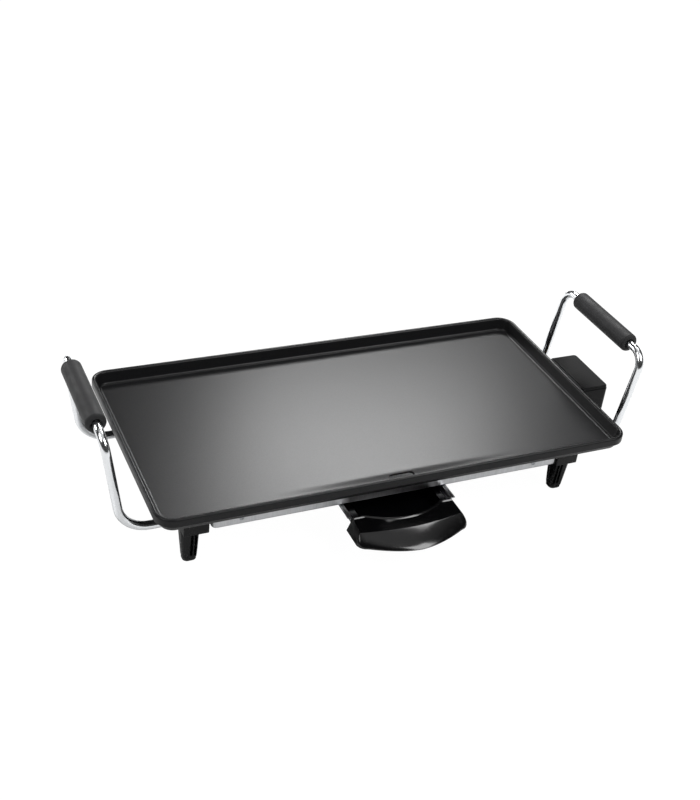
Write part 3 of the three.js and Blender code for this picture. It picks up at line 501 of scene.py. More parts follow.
@surfaced("Chrome plate, polished")
def chrome_plate(tree):
    """Decorative chrome on drawn wire: a bright mirror, slightly hazy in patches."""
    colours = bpy.context.scene.griddle_colours
    haze = noise(tree, 18, 2)
    return {
        "Base Color": linear(colours.chrome),
        "Metallic": 1.0,
        "Roughness": ranged(tree, haze, 0.13, 0.18),
    }


@surfaced("Brushed sheet steel")
def brushed_sheet(tree):
    """Cold-rolled bright steel, brushed across its length: fine bright and dull streaks."""
    colours = bpy.context.scene.griddle_colours
    # Grinding lines are about 0.1 mm wide, drawn at 1 mm so that they show.
    streak = noise(tree, 1.0, 3, stretch=(1, 0.03, 0.03), roughness=0.65)
    blotch = noise(tree, 26, 2)
    return {
        "Base Color": mottled(tree, ranged(tree, streak, 0, 1), colours.sheet_metal, 0.8),
        "Metallic": 1.0,
        "Roughness": ranged(tree, blotch, 0.3, 0.42),
        "Anisotropic": 0.4,
        "Normal": bumped(tree, streak, 0.02, 0.5),
    }


@surfaced("Zinc-plated steel")
def zinc_plate(tree):
    """Bright zinc on turned steel: grey, slightly cloudy."""
    colours = bpy.context.scene.griddle_colours
    cloud = noise(tree, 1.6, 2)
    return {
        "Base Color": mottled(tree, cloud, colours.zinc, 0.75),
        "Metallic": 1.0,
        "Roughness": ranged(tree, cloud, 0.28, 0.42),
        "Normal": bumped(tree, cloud, 0.01, 0.4),
    }


@surfaced("Steel tube, heat-stained")
def heated_steel(tree):
    """Steel tube that has been hot: brown-grey scale in soft patches."""
    patch = noise(tree, 9, 3)
    scale = noise(tree, 0.8, 3)
    return {
        "Base Color": between(tree, ranged(tree, patch, 0, 1), linear("#3A3430"), linear("#6B625A")),
        "Metallic": 0.85,
        "Roughness": ranged(tree, scale, 0.42, 0.62),
        "Normal": bumped(tree, scale, 0.02, 0.6),
    }


@surfaced("Tinned steel")
def tinned_steel(tree):
    """Tinned terminal: pale, soft, faintly crystalline."""
    crystal = noise(tree, 1.2, 2)
    return {
        "Base Color": between(tree, crystal, linear("#A8A69E"), linear("#CFCDC4")),
        "Metallic": 1.0,
        "Roughness": ranged(tree, crystal, 0.3, 0.45),
    }


@surfaced("Brass, satin")
def brass_metal(tree):
    """Turned or stamped brass, a little dull from handling."""
    colours = bpy.context.scene.griddle_colours
    film = noise(tree, 3, 3)
    return {
        "Base Color": mottled(tree, film, colours.brass, 0.7),
        "Metallic": 1.0,
        "Roughness": ranged(tree, film, 0.22, 0.38),
        "Normal": bumped(tree, noise(tree, 0.5, 2), 0.01, 0.4),
    }


@surfaced("Vitreous enamel, black")
def vitreous_enamel(tree):
    """Glass enamel fired on steel: deep black gloss with a slight orange peel."""
    colours = bpy.context.scene.griddle_colours
    peel = noise(tree, 5, 2)
    return {
        "Base Color": mottled(tree, peel, colours.enamel, 0.7),
        "Roughness": ranged(tree, noise(tree, 14, 2), 0.1, 0.18),
        "Normal": bumped(tree, peel, 0.03, 0.35),
    }


@surfaced("Plastic, polished mould")
def polished_plastic(tree):
    """Heat-proof plastic from a polished mould: glossy black with very slow waves."""
    colours = bpy.context.scene.griddle_colours
    wave = noise(tree, 30, 1)
    smear = noise(tree, 11, 3)
    return {
        "Base Color": linear(colours.gloss_plastic),
        "Roughness": ranged(tree, smear, 0.13, 0.18),
        "Normal": bumped(tree, wave, 0.02, 0.2),
    }


@surfaced("Phenolic moulding, satin")
def moulded_phenolic(tree):
    """Phenolic moulding: hard black with a satin gloss and faint flow marks."""
    colours = bpy.context.scene.griddle_colours
    flow = noise(tree, 6, 3, stretch=(1, 1, 0.35))
    grain = noise(tree, 0.7, 2)
    return {
        "Base Color": mottled(tree, ranged(tree, flow, 0, 1), colours.moulded_plastic, 0.8, 1.3),
        "Roughness": ranged(tree, flow, 0.24, 0.34),
        "Specular IOR Level": 0.2,
        "Normal": bumped(tree, grain, 0.02, 0.4),
    }


@surfaced("Plastic, spark-eroded grain")
def sparked_plastic(tree):
    """Plastic from a spark-eroded mould: fine even grain, dull black."""
    colours = bpy.context.scene.griddle_colours
    # The grain is about 0.2 mm, drawn at 0.8 mm so that it shows.
    grain = noise(tree, 0.8, 3, roughness=0.6)
    return {
        "Base Color": mottled(tree, ranged(tree, grain, 0, 1), colours.box_plastic, 0.75, 1.25),
        "Roughness": ranged(tree, grain, 0.4, 0.5),
        "Specular IOR Level": 0.12,
        "Normal": bumped(tree, grain, 0.03, 0.3),
    }


@surfaced("Rubber sleeve, matt")
def soft_rubber(tree):
    """Foamed rubber sleeve: dark grey, matt, with a fine open grain."""
    colours = bpy.context.scene.griddle_colours
    # The pores are about 0.15 mm, drawn at 0.9 mm so that they show.
    pore = noise(tree, 0.9, 4, roughness=0.7)
    rub = noise(tree, 14, 2)
    return {
        "Base Color": mottled(tree, ranged(tree, pore, 0, 1), colours.grip_rubber, 0.8, 1.25),
        "Roughness": ranged(tree, rub, 0.55, 0.68),
        "Sheen Weight": 0.08,
        "Specular IOR Level": 0.2,
        "Normal": bumped(tree, pore, 0.04, 0.4),
    }


@surfaced("Rubber, hard")
def pad_rubber(tree):
    """Hard black rubber, dusty at the edges."""
    colours = bpy.context.scene.griddle_colours
    dust = noise(tree, 2.5, 3)
    dusty = linear("#2A2A2A")
    return {
        "Base Color": between(tree, ranged(tree, dust, 0, 1), linear(colours.pad_rubber), dusty),
        "Roughness": 0.82,
        "Normal": bumped(tree, dust, 0.04, 0.5),
    }


@surfaced("Steatite ceramic")
def fired_ceramic(tree):
    """Unglazed steatite: cream, chalky, with small specks."""
    colours = bpy.context.scene.griddle_colours
    speck = noise(tree, 0.9, 4)
    return {
        "Base Color": mottled(tree, ranged(tree, speck, 0, 1), colours.ceramic, 0.82),
        "Roughness": 0.66,
        "Normal": bumped(tree, speck, 0.03, 0.5),
    }


@surfaced("Polycarbonate, amber")
def lamp_lens(tree):
    """Tinted clear polycarbonate, moulded with a prismatic back."""
    colours = bpy.context.scene.griddle_colours
    return {
        "Base Color": mottled(tree, noise(tree, 0.8, 1), colours.lamp, 0.8),
        "Roughness": 0.12,
        "Transmission Weight": 0.35,
        "IOR": 1.58,
    }


@surfaced("White print")
def printed_white(tree):
    """White print on plastic."""
    return {
        "Base Color": between(tree, noise(tree, 1.5, 2), linear("#D8D8D8"), linear("#ECECEC")),
        "Roughness": 0.5,
    }


FINISH_OF_SLOT = {
    "non_stick": non_stick_coating,
    "bright_sheet": brushed_sheet,
    "chrome": chrome_plate,
    "steel": zinc_plate,
    "element_sheath": heated_steel,
    "tin_plate": tinned_steel,
    "brass": brass_metal,
    "enamel": vitreous_enamel,
    "gloss_black": polished_plastic,
    "matt_black": moulded_phenolic,
    "grip_rubber": soft_rubber,
    "pad_rubber": pad_rubber,
    "ceramic": fired_ceramic,
    "amber": lamp_lens,
}


# ------------------------------------------------------------------ pieces


class GRIDDLE_OT_plate(bpy.types.Operator):
    """Make the cooking plate with its rounded rim, drip slot and underside"""

    bl_idname = "griddle.plate"
    bl_label = "Cooking plate"

    def execute(self, context):
        shapes = context.scene.griddle_shapes
        low, high = box_mm("cooking_plate")
        skirt_bottom = high.z - shapes.mm("skirt_height")
        floor_top = high.z - shapes.mm("basin_depth")
        underside = floor_top - 4
        bm = slab((low.x, low.y, skirt_bottom), high, shapes.mm("plate_corner"), 10)

        def inset(z, thickness, depth=0):
            """Insets the largest face at a height and moves it along its normal."""
            level = [f for f in bm.faces if abs(f.calc_center_median().z - z) < 0.01]
            face = max(level, key=lambda f: f.calc_area())
            bmesh.ops.inset_region(bm, faces=[face], thickness=thickness, depth=depth, use_even_offset=True)

        inset(high.z, shapes.mm("rim_lip"))
        inset(high.z, shapes.mm("rim_slope"), -shapes.mm("basin_depth"))
        inset(skirt_bottom, 3)
        inset(skirt_bottom, 4, skirt_bottom - underside)
        round_edges(bm, edges_at(bm, 2, high.z), 2.1, 5)
        round_edges(bm, edges_at(bm, 2, floor_top), 2.6, 4)
        round_edges(bm, edges_at(bm, 2, skirt_bottom), 1.0, 3)
        round_edges(bm, edges_at(bm, 2, underside), 2.0, 3)
        # A narrow border keeps the floor's shading flat up to the foot of the walls.
        inset(floor_top, 0.8)
        self.dip_floor(bm, floor_top, low, shapes.mm("channel_depth"))

        slot_low = (-SLOT_HALF, low.y + SLOT_FRONT, underside - 3)
        slot = slab(slot_low, (SLOT_HALF, low.y + SLOT_BACK, floor_top + 3), SLOT_CORNER)
        # The slot's back wall is undercut, so that grease lets go of it.
        for vert in slot.verts:
            if vert.co.z < underside and vert.co.y > low.y + (SLOT_FRONT + SLOT_BACK) / 2:
                vert.co.y += 5
        shield_floor = box_mm("heat_shield")[0].z + shapes.mm("sheet")
        posts = []
        for number in range(1, 5):
            posts.append(self.post(f"shield_screw_{number}", 5, shield_floor + 0.3, underside))
        for end in ENDS:
            posts += [self.post(f"foot_screw_{side}_{end}", 6, underside - 6, underside) for side in SIDES]
        posts += [self.post(f"neck_screw_{side}", 4.5, low.z, underside) for side in SIDES]
        bm = combined(combined(bm, *posts, operation="UNION"), slot)
        coating = non_stick_coating()
        finish_piece("cooking_plate_cast", bm, coating, "root", ["cooking_plate"], crease=50)
        return {"FINISHED"}

    @staticmethod
    def post(screw, radius, bottom, underside):
        """A post over a screw, from a height up into the plate's floor."""
        place = centre_mm(screw)
        return drum(radius, underside + 1 - bottom, (place.x, place.y, bottom), sides=24)

    @staticmethod
    def dip_floor(bm, floor_top, low, depth):
        """Cuts the floor into strips and lets its front edge dip towards the slot."""
        start, width, half = low.y + 8.6, 22, 180
        rows = [start + 1.5 * i for i in range(1, 19)]
        columns = range(-240, 241, 12)
        for normal, places in ((Y_AXIS, rows), (X_AXIS, columns)):
            for place in places:
                floor = [f for f in bm.faces if all(abs(v.co.z - floor_top) < 0.01 for v in f.verts)]
                geom = set(floor)
                for face in floor:
                    geom.update(face.edges)
                    geom.update(face.verts)
                plane = normal * place
                bmesh.ops.bisect_plane(bm, geom=list(geom), dist=0.001, plane_co=plane, plane_no=normal)
        for vert in bm.verts:
            x, y, z = vert.co
            if abs(z - floor_top) < 0.01 and start < y < start + width and abs(x) < half:
                across = math.sin(math.pi * (y - start) / width) ** 2
                along = math.cos(math.pi / 2 * x / half) ** 2
                vert.co.z -= depth * across * along


class GRIDDLE_OT_handles(bpy.types.Operator):
    """Bend the two wire handles and turn their grips"""

    bl_idname = "griddle.handles"
    bl_label = "Handles and grips"

    def execute(self, context):
        shapes = context.scene.griddle_shapes
        for end, sign in zip(ENDS, (-1, 1)):
            low, high = box_mm(f"handle_rod_{end}")
            grip_low, grip_high = box_mm(f"grip_{end}")
            radius, grip_edge = shapes.mm("wire_radius"), shapes.mm("grip_edge")
            inner_x = min(abs(low.x), abs(high.x)) * sign
            grip_x = (grip_low.x + grip_high.x) / 2
            grip_z = (grip_low.z + grip_high.z) / 2
            low_x = grip_x - 17 * sign
            front, back = low.y + radius, high.y - radius
            bottom = low.z + radius
            route = [
                (inner_x, front, bottom),
                (low_x, front, bottom),
                (grip_x, front, grip_z),
                (grip_x, back, grip_z),
                (low_x, back, bottom),
                (inner_x, back, bottom),
            ]
            lower, upper = shapes.mm("lower_bend"), shapes.mm("upper_bend")
            bends = (lower, upper, upper, lower)
            finish_piece(
                f"handle_wire_{end}",
                wire(route, bends, radius),
                chrome_plate(),
                stands_for=[f"handle_rod_{end}"],
            )
            half = (grip_high.y - grip_low.y) / 2
            centre = (grip_x, (grip_low.y + grip_high.y) / 2, grip_z)
            finish_piece(
                f"grip_sleeve_{end}",
                self.sleeve((grip_high.z - grip_low.z) / 2, half, grip_edge, radius + 0.25, centre),
                soft_rubber(),
                stands_for=[f"grip_{end}"],
            )
        return {"FINISHED"}

    @staticmethod
    def sleeve(radius, half, edge, bore, centre):
        """A sleeve with rounded ends, dished where the wire goes in."""
        profile = []
        for side in (-1, 1):
            arc = []
            for step in range(7):
                turn = math.pi / 2 * step / 6
                height = half - edge + edge * math.cos(turn)
                arc.append((radius - edge + edge * math.sin(turn), side * height))
            dish = ((0, 2.2), (0.5, 0.9), (1.5, 0))
            ring = [(bore + wider, side * (half - depth)) for wider, depth in dish]
            profile += (ring + arc) if side < 0 else list(reversed(ring + arc))
        profile.append(profile[0])
        return turned(profile, centre, "+Y", steps=48)


def foot_shape(bore_y):
    """One foot about its leg's centre line, with +X and +Y pointing out of the griddle."""
    leg = slab((-11.5, -10, 2.8), (11.5, 10, 47), 6.5, 8)
    for vert in leg.verts:
        share = max(0, min(1, (vert.co.z - 2.8) / 44.2))
        vert.co.x *= 0.652 + 0.348 * share
        vert.co.y *= 0.7 + 0.3 * share
    round_edges(leg, edges_at(leg, 2, 2.8), 1.4, 3)
    head = slab((-15, -15.6, 41), (11.4, 17.2, 68.7))
    round_edges(head, [e for e in head.edges if e.calc_length() > 0], 1.0, 2)
    foot = combined(leg, head, operation="UNION")
    pockets = []
    for x0, x1 in ((-11, -7.1), (-5.9, -3.1), (-1.9, 0.9)):
        pockets.append(slab((x0, 1.2, 7), (x1, 14, 40.5)))
        pockets.append(slab((x0, -14, 7), (x1, -1.2, 40.5)))
    # The wire's bore and the screw's well
    pockets.append(drum(4.8, 22, (-7.3, bore_y, 48.5), "+X", sides=28))
    pockets.append(drum(4.1, 24, (-4, 9, 37.7), sides=24))
    pockets.append(drum(2.3, 20, (-4, 9, 55), sides=16))
    # The head is hollow on its inner side, with a rib left in the middle.
    pockets.append(slab((-16, -13, 55), (-9, -6.5, 67)))
    pockets.append(slab((-16, -4.5, 55), (-9, 2.5, 67)))
    return combined(foot, *pockets)


class GRIDDLE_OT_feet(bpy.types.Operator):
    """Mould the four ribbed feet and their pads"""

    bl_idname = "griddle.feet"
    bl_label = "Feet"

    def execute(self, context):
        for side, end in CORNERS:
            name = f"{side}_{end}"
            x_sign = -1 if end == "left" else 1
            y_sign = -1 if side == "front" else 1
            pad_low, pad_high = box_mm(f"foot_pad_{name}")
            centre = (pad_low + pad_high) / 2
            rod_low, rod_high = box_mm(f"handle_rod_{end}")
            radius = context.scene.griddle_shapes.mm("wire_radius")
            rod_y = rod_low.y + radius if side == "front" else rod_high.y - radius
            foot = scaled(foot_shape((rod_y - centre.y) * y_sign), (x_sign, y_sign, 1))
            bmesh.ops.translate(foot, vec=(centre.x, centre.y, 0), verts=foot.verts)
            phenolic = moulded_phenolic()
            finish_piece(f"foot_moulding_{name}", foot, phenolic, stands_for=[f"foot_{name}"])
            pad = slab(pad_low, pad_high, 5, 6)
            round_edges(pad, edges_at(pad, 2, pad_low.z), 0.8, 3)
            round_edges(pad, edges_at(pad, 2, pad_high.z), 0.3, 1)
            rubber = pad_rubber()
            finish_piece(f"foot_sole_{name}", pad, rubber, stands_for=[f"foot_pad_{name}"])
        return {"FINISHED"}


class GRIDDLE_OT_shield(bpy.types.Operator):
    """Fold the heat shield and the two tray rails"""

    bl_idname = "griddle.shield"
    bl_label = "Heat shield and rails"

    def execute(self, context):
        shapes = context.scene.griddle_shapes
        low, high = box_mm("heat_shield")
        outer = slab(low, high, 5, 6)
        round_edges(outer, edges_at(outer, 2, low.z), shapes.mm("fold"), 4)
        thickness = shapes.mm("sheet")
        inner_low = low + Vector((thickness, thickness, thickness))
        inner_high = Vector((high.x - thickness, high.y - thickness, high.z + 2))
        inner = slab(inner_low, inner_high, 5 - thickness, 6)
        round_edges(inner, edges_at(inner, 2, inner_low.z), shapes.mm("fold") - thickness, 3)
        middle = (low.y + high.y) / 2
        holes = []
        for number in range(1, 5):
            screw = centre_mm(f"shield_screw_{number}")
            holes.append(drum(2.3, 6, (screw.x, screw.y, low.z - 3), sides=20))
        for end in ENDS:
            rivet = centre_mm(f"shield_rivet_{end}")
            holes.append(drum(1.8, 6, (rivet.x, low.y - 3, rivet.z), "+Y", sides=16))
        # The neck of the control box passes through a notch in the end wall.
        notch = slab((high.x - 5, middle - 18.5, high.z - 10), (high.x + 5, middle + 18.5, high.z + 3))
        sheet = combined(combined(outer, inner), notch, *holes)
        # Two shallow beads keep the floor of the sheet stiff.
        beads = []
        for y in (-30, 30):
            bead_low = (low.x + 70, middle + y - 4, low.z - 0.6)
            bead = slab(bead_low, (high.x - 70, middle + y + 4, low.z + 0.4), 3.9, 6)
            round_edges(bead, edges_at(bead, 2, low.z - 0.6), 0.5, 2)
            beads.append(bead)
        sheet = combined(sheet, *beads, operation="UNION")
        steel = brushed_sheet()
        finish_piece("heat_shield_sheet", sheet, steel, stands_for=["heat_shield"])
        for end, sign in zip(ENDS, (-1, 1)):
            self.rail(end, sign, thickness)
        return {"FINISHED"}

    @staticmethod
    def rail(end, sign, sheet):
        """A folded Z section, drawn at the front and run to the back."""
        low, high = box_mm(f"tray_rail_{end}")
        outer, inner = max(abs(low.x), abs(high.x)), min(abs(low.x), abs(high.x))
        web = outer - 5
        bm = bmesh.new()
        section = [
            (outer, high.z),
            (web, high.z),
            (web, low.z + sheet),
            (inner, low.z + sheet),
            (inner, low.z),
            (web + sheet, low.z),
            (web + sheet, high.z - sheet),
            (outer, high.z - sheet),
        ]
        face = bm.faces.new([bm.verts.new((x * sign, low.y, z)) for x, z in section])
        made = bmesh.ops.extrude_face_region(bm, geom=[face])
        verts = [part for part in made["geom"] if isinstance(part, bmesh.types.BMVert)]
        bmesh.ops.translate(bm, vec=(0, high.y - low.y, 0), verts=verts)
        bmesh.ops.recalc_face_normals(bm, faces=bm.faces)
        folds = [e for e in edges_along(bm, Y_AXIS) if abs(abs(e.verts[0].co.x) - web - sheet / 2) < sheet]
        round_edges(bm, folds, 0.55, 3)
        steel = brushed_sheet()
        finish_piece(f"tray_rail_folded_{end}", bm, steel, stands_for=[f"tray_rail_{end}"])


def bowed_front(x, back_y, front_y, half):
    """Where a front edge that bows out from its ends lies at x."""
    share = min(1, abs(x) / half)
    return front_y + (back_y - front_y) * share * share


class GRIDDLE_OT_tray(bpy.types.Operator):
    """Press the drip tray"""

    bl_idname = "griddle.tray"
    bl_label = "Drip tray"

    def execute(self, context):
        low, high = box_mm("drip_tray")
        front_corner = low.y + TRAY_BOW
        outer = self.tub(-TRAY_HALF, TRAY_HALF, front_corner, high.y, low.z, high.z, 0)
        wall = 1.6
        inner = self.tub(-TRAY_HALF, TRAY_HALF, front_corner, high.y, low.z + wall, high.z + 3, wall)
        flange = slab((low.x, front_corner + 4, high.z - 1.2), (high.x, high.y - 6, high.z), 2, 3)
        round_edges(flange, edges_at(flange, 2, high.z), 0.4, 2)
        tray = combined(outer, flange, operation="UNION")
        screws = []
        for end in ENDS:
            screw = centre_mm(f"tray_screw_{end}")
            screws.append(drum(2.3, 20, (screw.x, low.y - 4, screw.z), "+Y", sides=16))
        tray = combined(tray, inner, *screws)
        finish_piece("drip_tray_pressing", tray, vitreous_enamel(), "tray", ["drip_tray"])
        return {"FINISHED"}

    @staticmethod
    def tub(x0, x1, front, back, bottom, top, wall):
        """The tray's outline: rounded at the back, bowed at the front and round along the bottom."""
        bm = slab((x0 + wall, front + wall, bottom), (x1 - wall, back - wall, top))
        for index in range(1, TRAY_STEPS):
            x = x0 + wall + (x1 - x0 - 2 * wall) * index / TRAY_STEPS
            geom = bm.verts[:] + bm.edges[:] + bm.faces[:]
            bmesh.ops.bisect_plane(bm, geom=geom, dist=0.001, plane_co=(x, 0, 0), plane_no=(1, 0, 0))
        for vert in bm.verts:
            if vert.co.y < front + wall + 0.01:
                half = (x1 - x0) / 2 - wall
                vert.co.y = bowed_front(vert.co.x, front + wall, front + wall - TRAY_BOW, half)
        upright = [e for e in edges_along(bm, Z_AXIS) if e.calc_face_angle(0) > 0.5]
        round_edges(bm, [e for e in upright if e.verts[0].co.y > 0], 6 - wall, 5)
        round_edges(bm, [e for e in upright if e.is_valid and e.verts[0].co.y < 0], 3 - wall / 2, 4)
        round_edges(bm, edges_at(bm, 2, bottom), 2.6 - wall / 2, 3)
        return bm


class GRIDDLE_OT_tray_handle(bpy.types.Operator):
    """Mould the glossy handle of the drip tray"""

    bl_idname = "griddle.tray_handle"
    bl_label = "Tray handle"

    def execute(self, context):
        shapes = context.scene.griddle_shapes
        low, high = box_mm("tray_handle")
        stations = 48
        middle = self.profile(0, low, high)
        bm = bmesh.new()
        face = bm.faces.new([bm.verts.new((0, y, z)) for y, z in middle])
        ring = list(face.edges)
        bmesh.ops.delete(bm, geom=[face], context="FACES_ONLY")
        for _ in range(stations):
            ring = drawn_out(bm, ring, (1, 0, 0))
        bmesh.ops.holes_fill(bm, edges=[e for e in bm.edges if e.is_boundary], sides=0)
        # Every station takes its own side view, closer together towards the ends.
        for vert in bm.verts:
            share = math.sin(math.pi / 2 * (2 * vert.co.x / stations - 1))
            index = min(range(len(middle)), key=lambda k: math.dist(middle[k], vert.co.yz))
            y, z = self.profile(share, low, high)[index]
            rise = max(0, min(1, (z - low.z - 4) / (high.z - low.z - 4)))
            vert.co = Vector((share * (high.x - 6.5 * rise**1.4), y, z))
        bmesh.ops.recalc_face_normals(bm, faces=bm.faces)
        ends = [e for e in bm.edges if any(len(f.verts) == len(middle) for f in e.link_faces)]
        round_edges(bm, ends, shapes.mm("handle_edge"), 5)
        holes = []
        for end in ENDS:
            screw = f"tray_screw_{end}"
            place = centre_mm(screw)
            holes.append(drum(2.2, 12, (place.x, box_mm(screw)[0].y - 1, place.z), "+Y", sides=16))
        finish_piece(
            "tray_handle_moulding",
            combined(bm, *holes),
            polished_plastic(),
            "tray",
            ["tray_handle"],
            crease=50,
        )
        return {"FINISHED"}

    @staticmethod
    def profile(share, low, high):
        """Side view of the handle at a share of its half width, as [y, z] pairs."""
        x = abs(share) * high.x
        corner = high.x - 9
        inner = bowed_front(x, high.y, high.y - TRAY_BOW - 0.3, TRAY_HALF + 0.6)
        # The front edge sweeps back to the corners, and the crease less so.
        crease = low.y + 22.5 + 5 * (x / 55) ** 1.5
        front = low.y + 16 * (min(x, corner) / corner) ** 1.7
        if x > corner:
            past = min(1, (x - corner) / 9)
            front += 1.5 * past + 7.5 * (1 - math.sqrt(1 - past * past))
        top, bottom = high.z, low.z
        # A raised lip, a flat that leans forward and, past the crease, a face that rolls over.
        points = [(inner, bottom), (inner, top - 0.9), (inner - 0.6, top - 0.06), (inner - 0.9, top)]
        points += [(inner - 1.7, top), (inner - 2.9, top - 1.2), (inner - 3.2, top - 1.25)]
        edge, span = top - 3.6, front - crease
        points += [(crease + 0.9, edge + 0.2), (crease, edge)]
        for step in range(1, 13):
            t = step / 12
            y = (1 - t) ** 2 * crease + 2 * t * (1 - t) * (crease + span * 0.78) + t * t * front
            z = (1 - t) ** 2 * edge + 2 * t * (1 - t) * (edge - 5.4) + t * t * (bottom + 1.8)
            points.append((y, z))
        points += [(front + 0.4, bottom + 0.5), (front + 1.6, bottom)]
        return points


def screw_shape(place, pointing, length):
    """A pan-head screw with a cross recess; the head's underside is at the place."""
    head = turned(
        [
            (0, -2.1),
            (1.4, -2.05),
            (2.6, -1.8),
            (3.4, -1.2),
            (3.8, -0.5),
            (3.8, 0),
            (1.8, 0),
            *[(2.0 if step % 2 else 1.55, 0.6 + 0.6 * step) for step in range(int((length - 2) / 0.6))],
            (1.5, length - 1),
            (0, length),
        ],
        steps=24,
    )
    bars = []
    for angle in (0, 90):
        bar = slab((-2.1, -0.42, -3), (2.1, 0.42, -0.9))
        bmesh.ops.transform(bar, matrix=Matrix.Rotation(math.radians(angle), 4, "Z"), verts=bar.verts)
        bars.append(bar)
    return stood(combined(head, *bars), place, pointing)


class GRIDDLE_OT_screws(bpy.types.Operator):
    """Turn the screws and the shield's rivets"""

    bl_idname = "griddle.screws"
    bl_label = "Screws and rivets"

    def execute(self, context):
        upright = [f"foot_screw_{side}_{end}" for side, end in CORNERS]
        upright += [f"shield_screw_{number}" for number in range(1, 5)]
        upright += [f"{kind}_screw_{side}" for kind in ("neck", "box") for side in SIDES]
        for name in upright:
            low, high = box_mm(name)
            centre = centre_mm(name)
            shape = screw_shape((centre.x, centre.y, low.z + 2), "+Z", high.z - low.z - 2)
            finish_piece(f"{name}_turned", shape, zinc_plate(), stands_for=[name])
        for end in ENDS:
            name = f"tray_screw_{end}"
            low, high = box_mm(name)
            centre = centre_mm(name)
            shape = screw_shape((centre.x, high.y - 2, centre.z), "-Y", high.y - low.y - 2)
            finish_piece(f"{name}_turned", shape, zinc_plate(), "tray", [name])
            name = f"shield_rivet_{end}"
            centre = centre_mm(name)
            head = [(0, -0.5), (0.7, -0.5), (0.75, -1.1), (1.5, -1.05), (2.3, -0.6), (2.6, 0)]
            shank = [(1.5, 0), (1.5, 4), (0, 4)]
            place = (centre.x, box_mm(name)[0].y + 1.1, centre.z)
            shape = turned(head + shank, place, "+Y", steps=24)
            finish_piece(f"{name}_set", shape, zinc_plate(), stands_for=[name])
        return {"FINISHED"}


class GRIDDLE_OT_box(bpy.types.Operator):
    """Mould the control box cover with its part line"""

    bl_idname = "griddle.box"
    bl_label = "Control box"

    def execute(self, context):
        shapes = context.scene.griddle_shapes
        low, high = box_mm("control_box_cover")
        shell = 2.2
        lid = slab((low.x + 0.6, low.y + 0.7, high.z - 5), (high.x - 0.7, high.y - 0.7, high.z), 4.4, 8)
        round_edges(lid, edges_at(lid, 2, high.z), shapes.mm("box_edge"), 4)
        outer = slab(low, (high.x, high.y, high.z - 3.4), 5, 8)
        round_edges(outer, edges_at(outer, 2, high.z - 3.4), 0.5, 2)
        outer = combined(outer, lid, operation="UNION")
        inner_low = (low.x + shell, low.y + shell, low.z - 2)
        inner = slab(inner_low, (high.x - shell, high.y - shell, high.z - shell), 2.8, 4)
        door = slab((low.x - 2, low.y + shell, low.z - 2), (low.x + 5, high.y - shell, high.z - 6.4))
        groove = combined(
            slab((low.x + 3.4, low.y - 2, low.z - 2), (low.x + 4.2, high.y + 2, high.z + 2)),
            slab((low.x + 2, low.y + 0.6, low.z - 3), (low.x + 6, high.y - 0.6, high.z - 0.6)),
        )
        shaft = centre_mm("thermostat_shaft")
        lamp = centre_mm("pilot_lamp_lens")
        inlet_low, inlet_high = box_mm("inlet_housing")
        window = slab(
            (inlet_low.x + 1.7, high.y - 6, inlet_low.z + 2.7),
            (inlet_high.x - 1.7, high.y + 1, inlet_high.z - 2.7),
        )
        cover = combined(
            outer,
            inner,
            door,
            groove,
            window,
            drum(3.3, 10, (high.x - 6, shaft.y, shaft.z), "+X", sides=24),
            drum(2.8, 10, (high.x - 6, lamp.y, lamp.z), "+X", sides=20),
        )
        plastic = sparked_plastic()
        finish_piece("control_box_moulding", cover, plastic, stands_for=["control_box_cover"])
        self.scale_marks(Vector((high.x, shaft.y, shaft.z)))
        return {"FINISHED"}

    @staticmethod
    def scale_marks(centre):
        """Small raised marks on the box's end, round the dial."""
        marks = []
        for index in range(10):
            turn = math.radians(-135 + 270 * index / 9)
            mark = slab((-0.4, -0.45, 14.2), (0.15, 0.45, 15.6 if index % 3 else 16.6))
            outer = [e for e in mark.edges if all(v.co.x > 0 for v in e.verts)]
            round_edges(mark, outer, 0.1, 1)
            bmesh.ops.transform(mark, matrix=Matrix.Rotation(turn, 4, "X"), verts=mark.verts)
            bmesh.ops.translate(mark, vec=centre, verts=mark.verts)
            marks.append(mark)
        finish_piece("dial_scale_marks", together(*marks), printed_white())


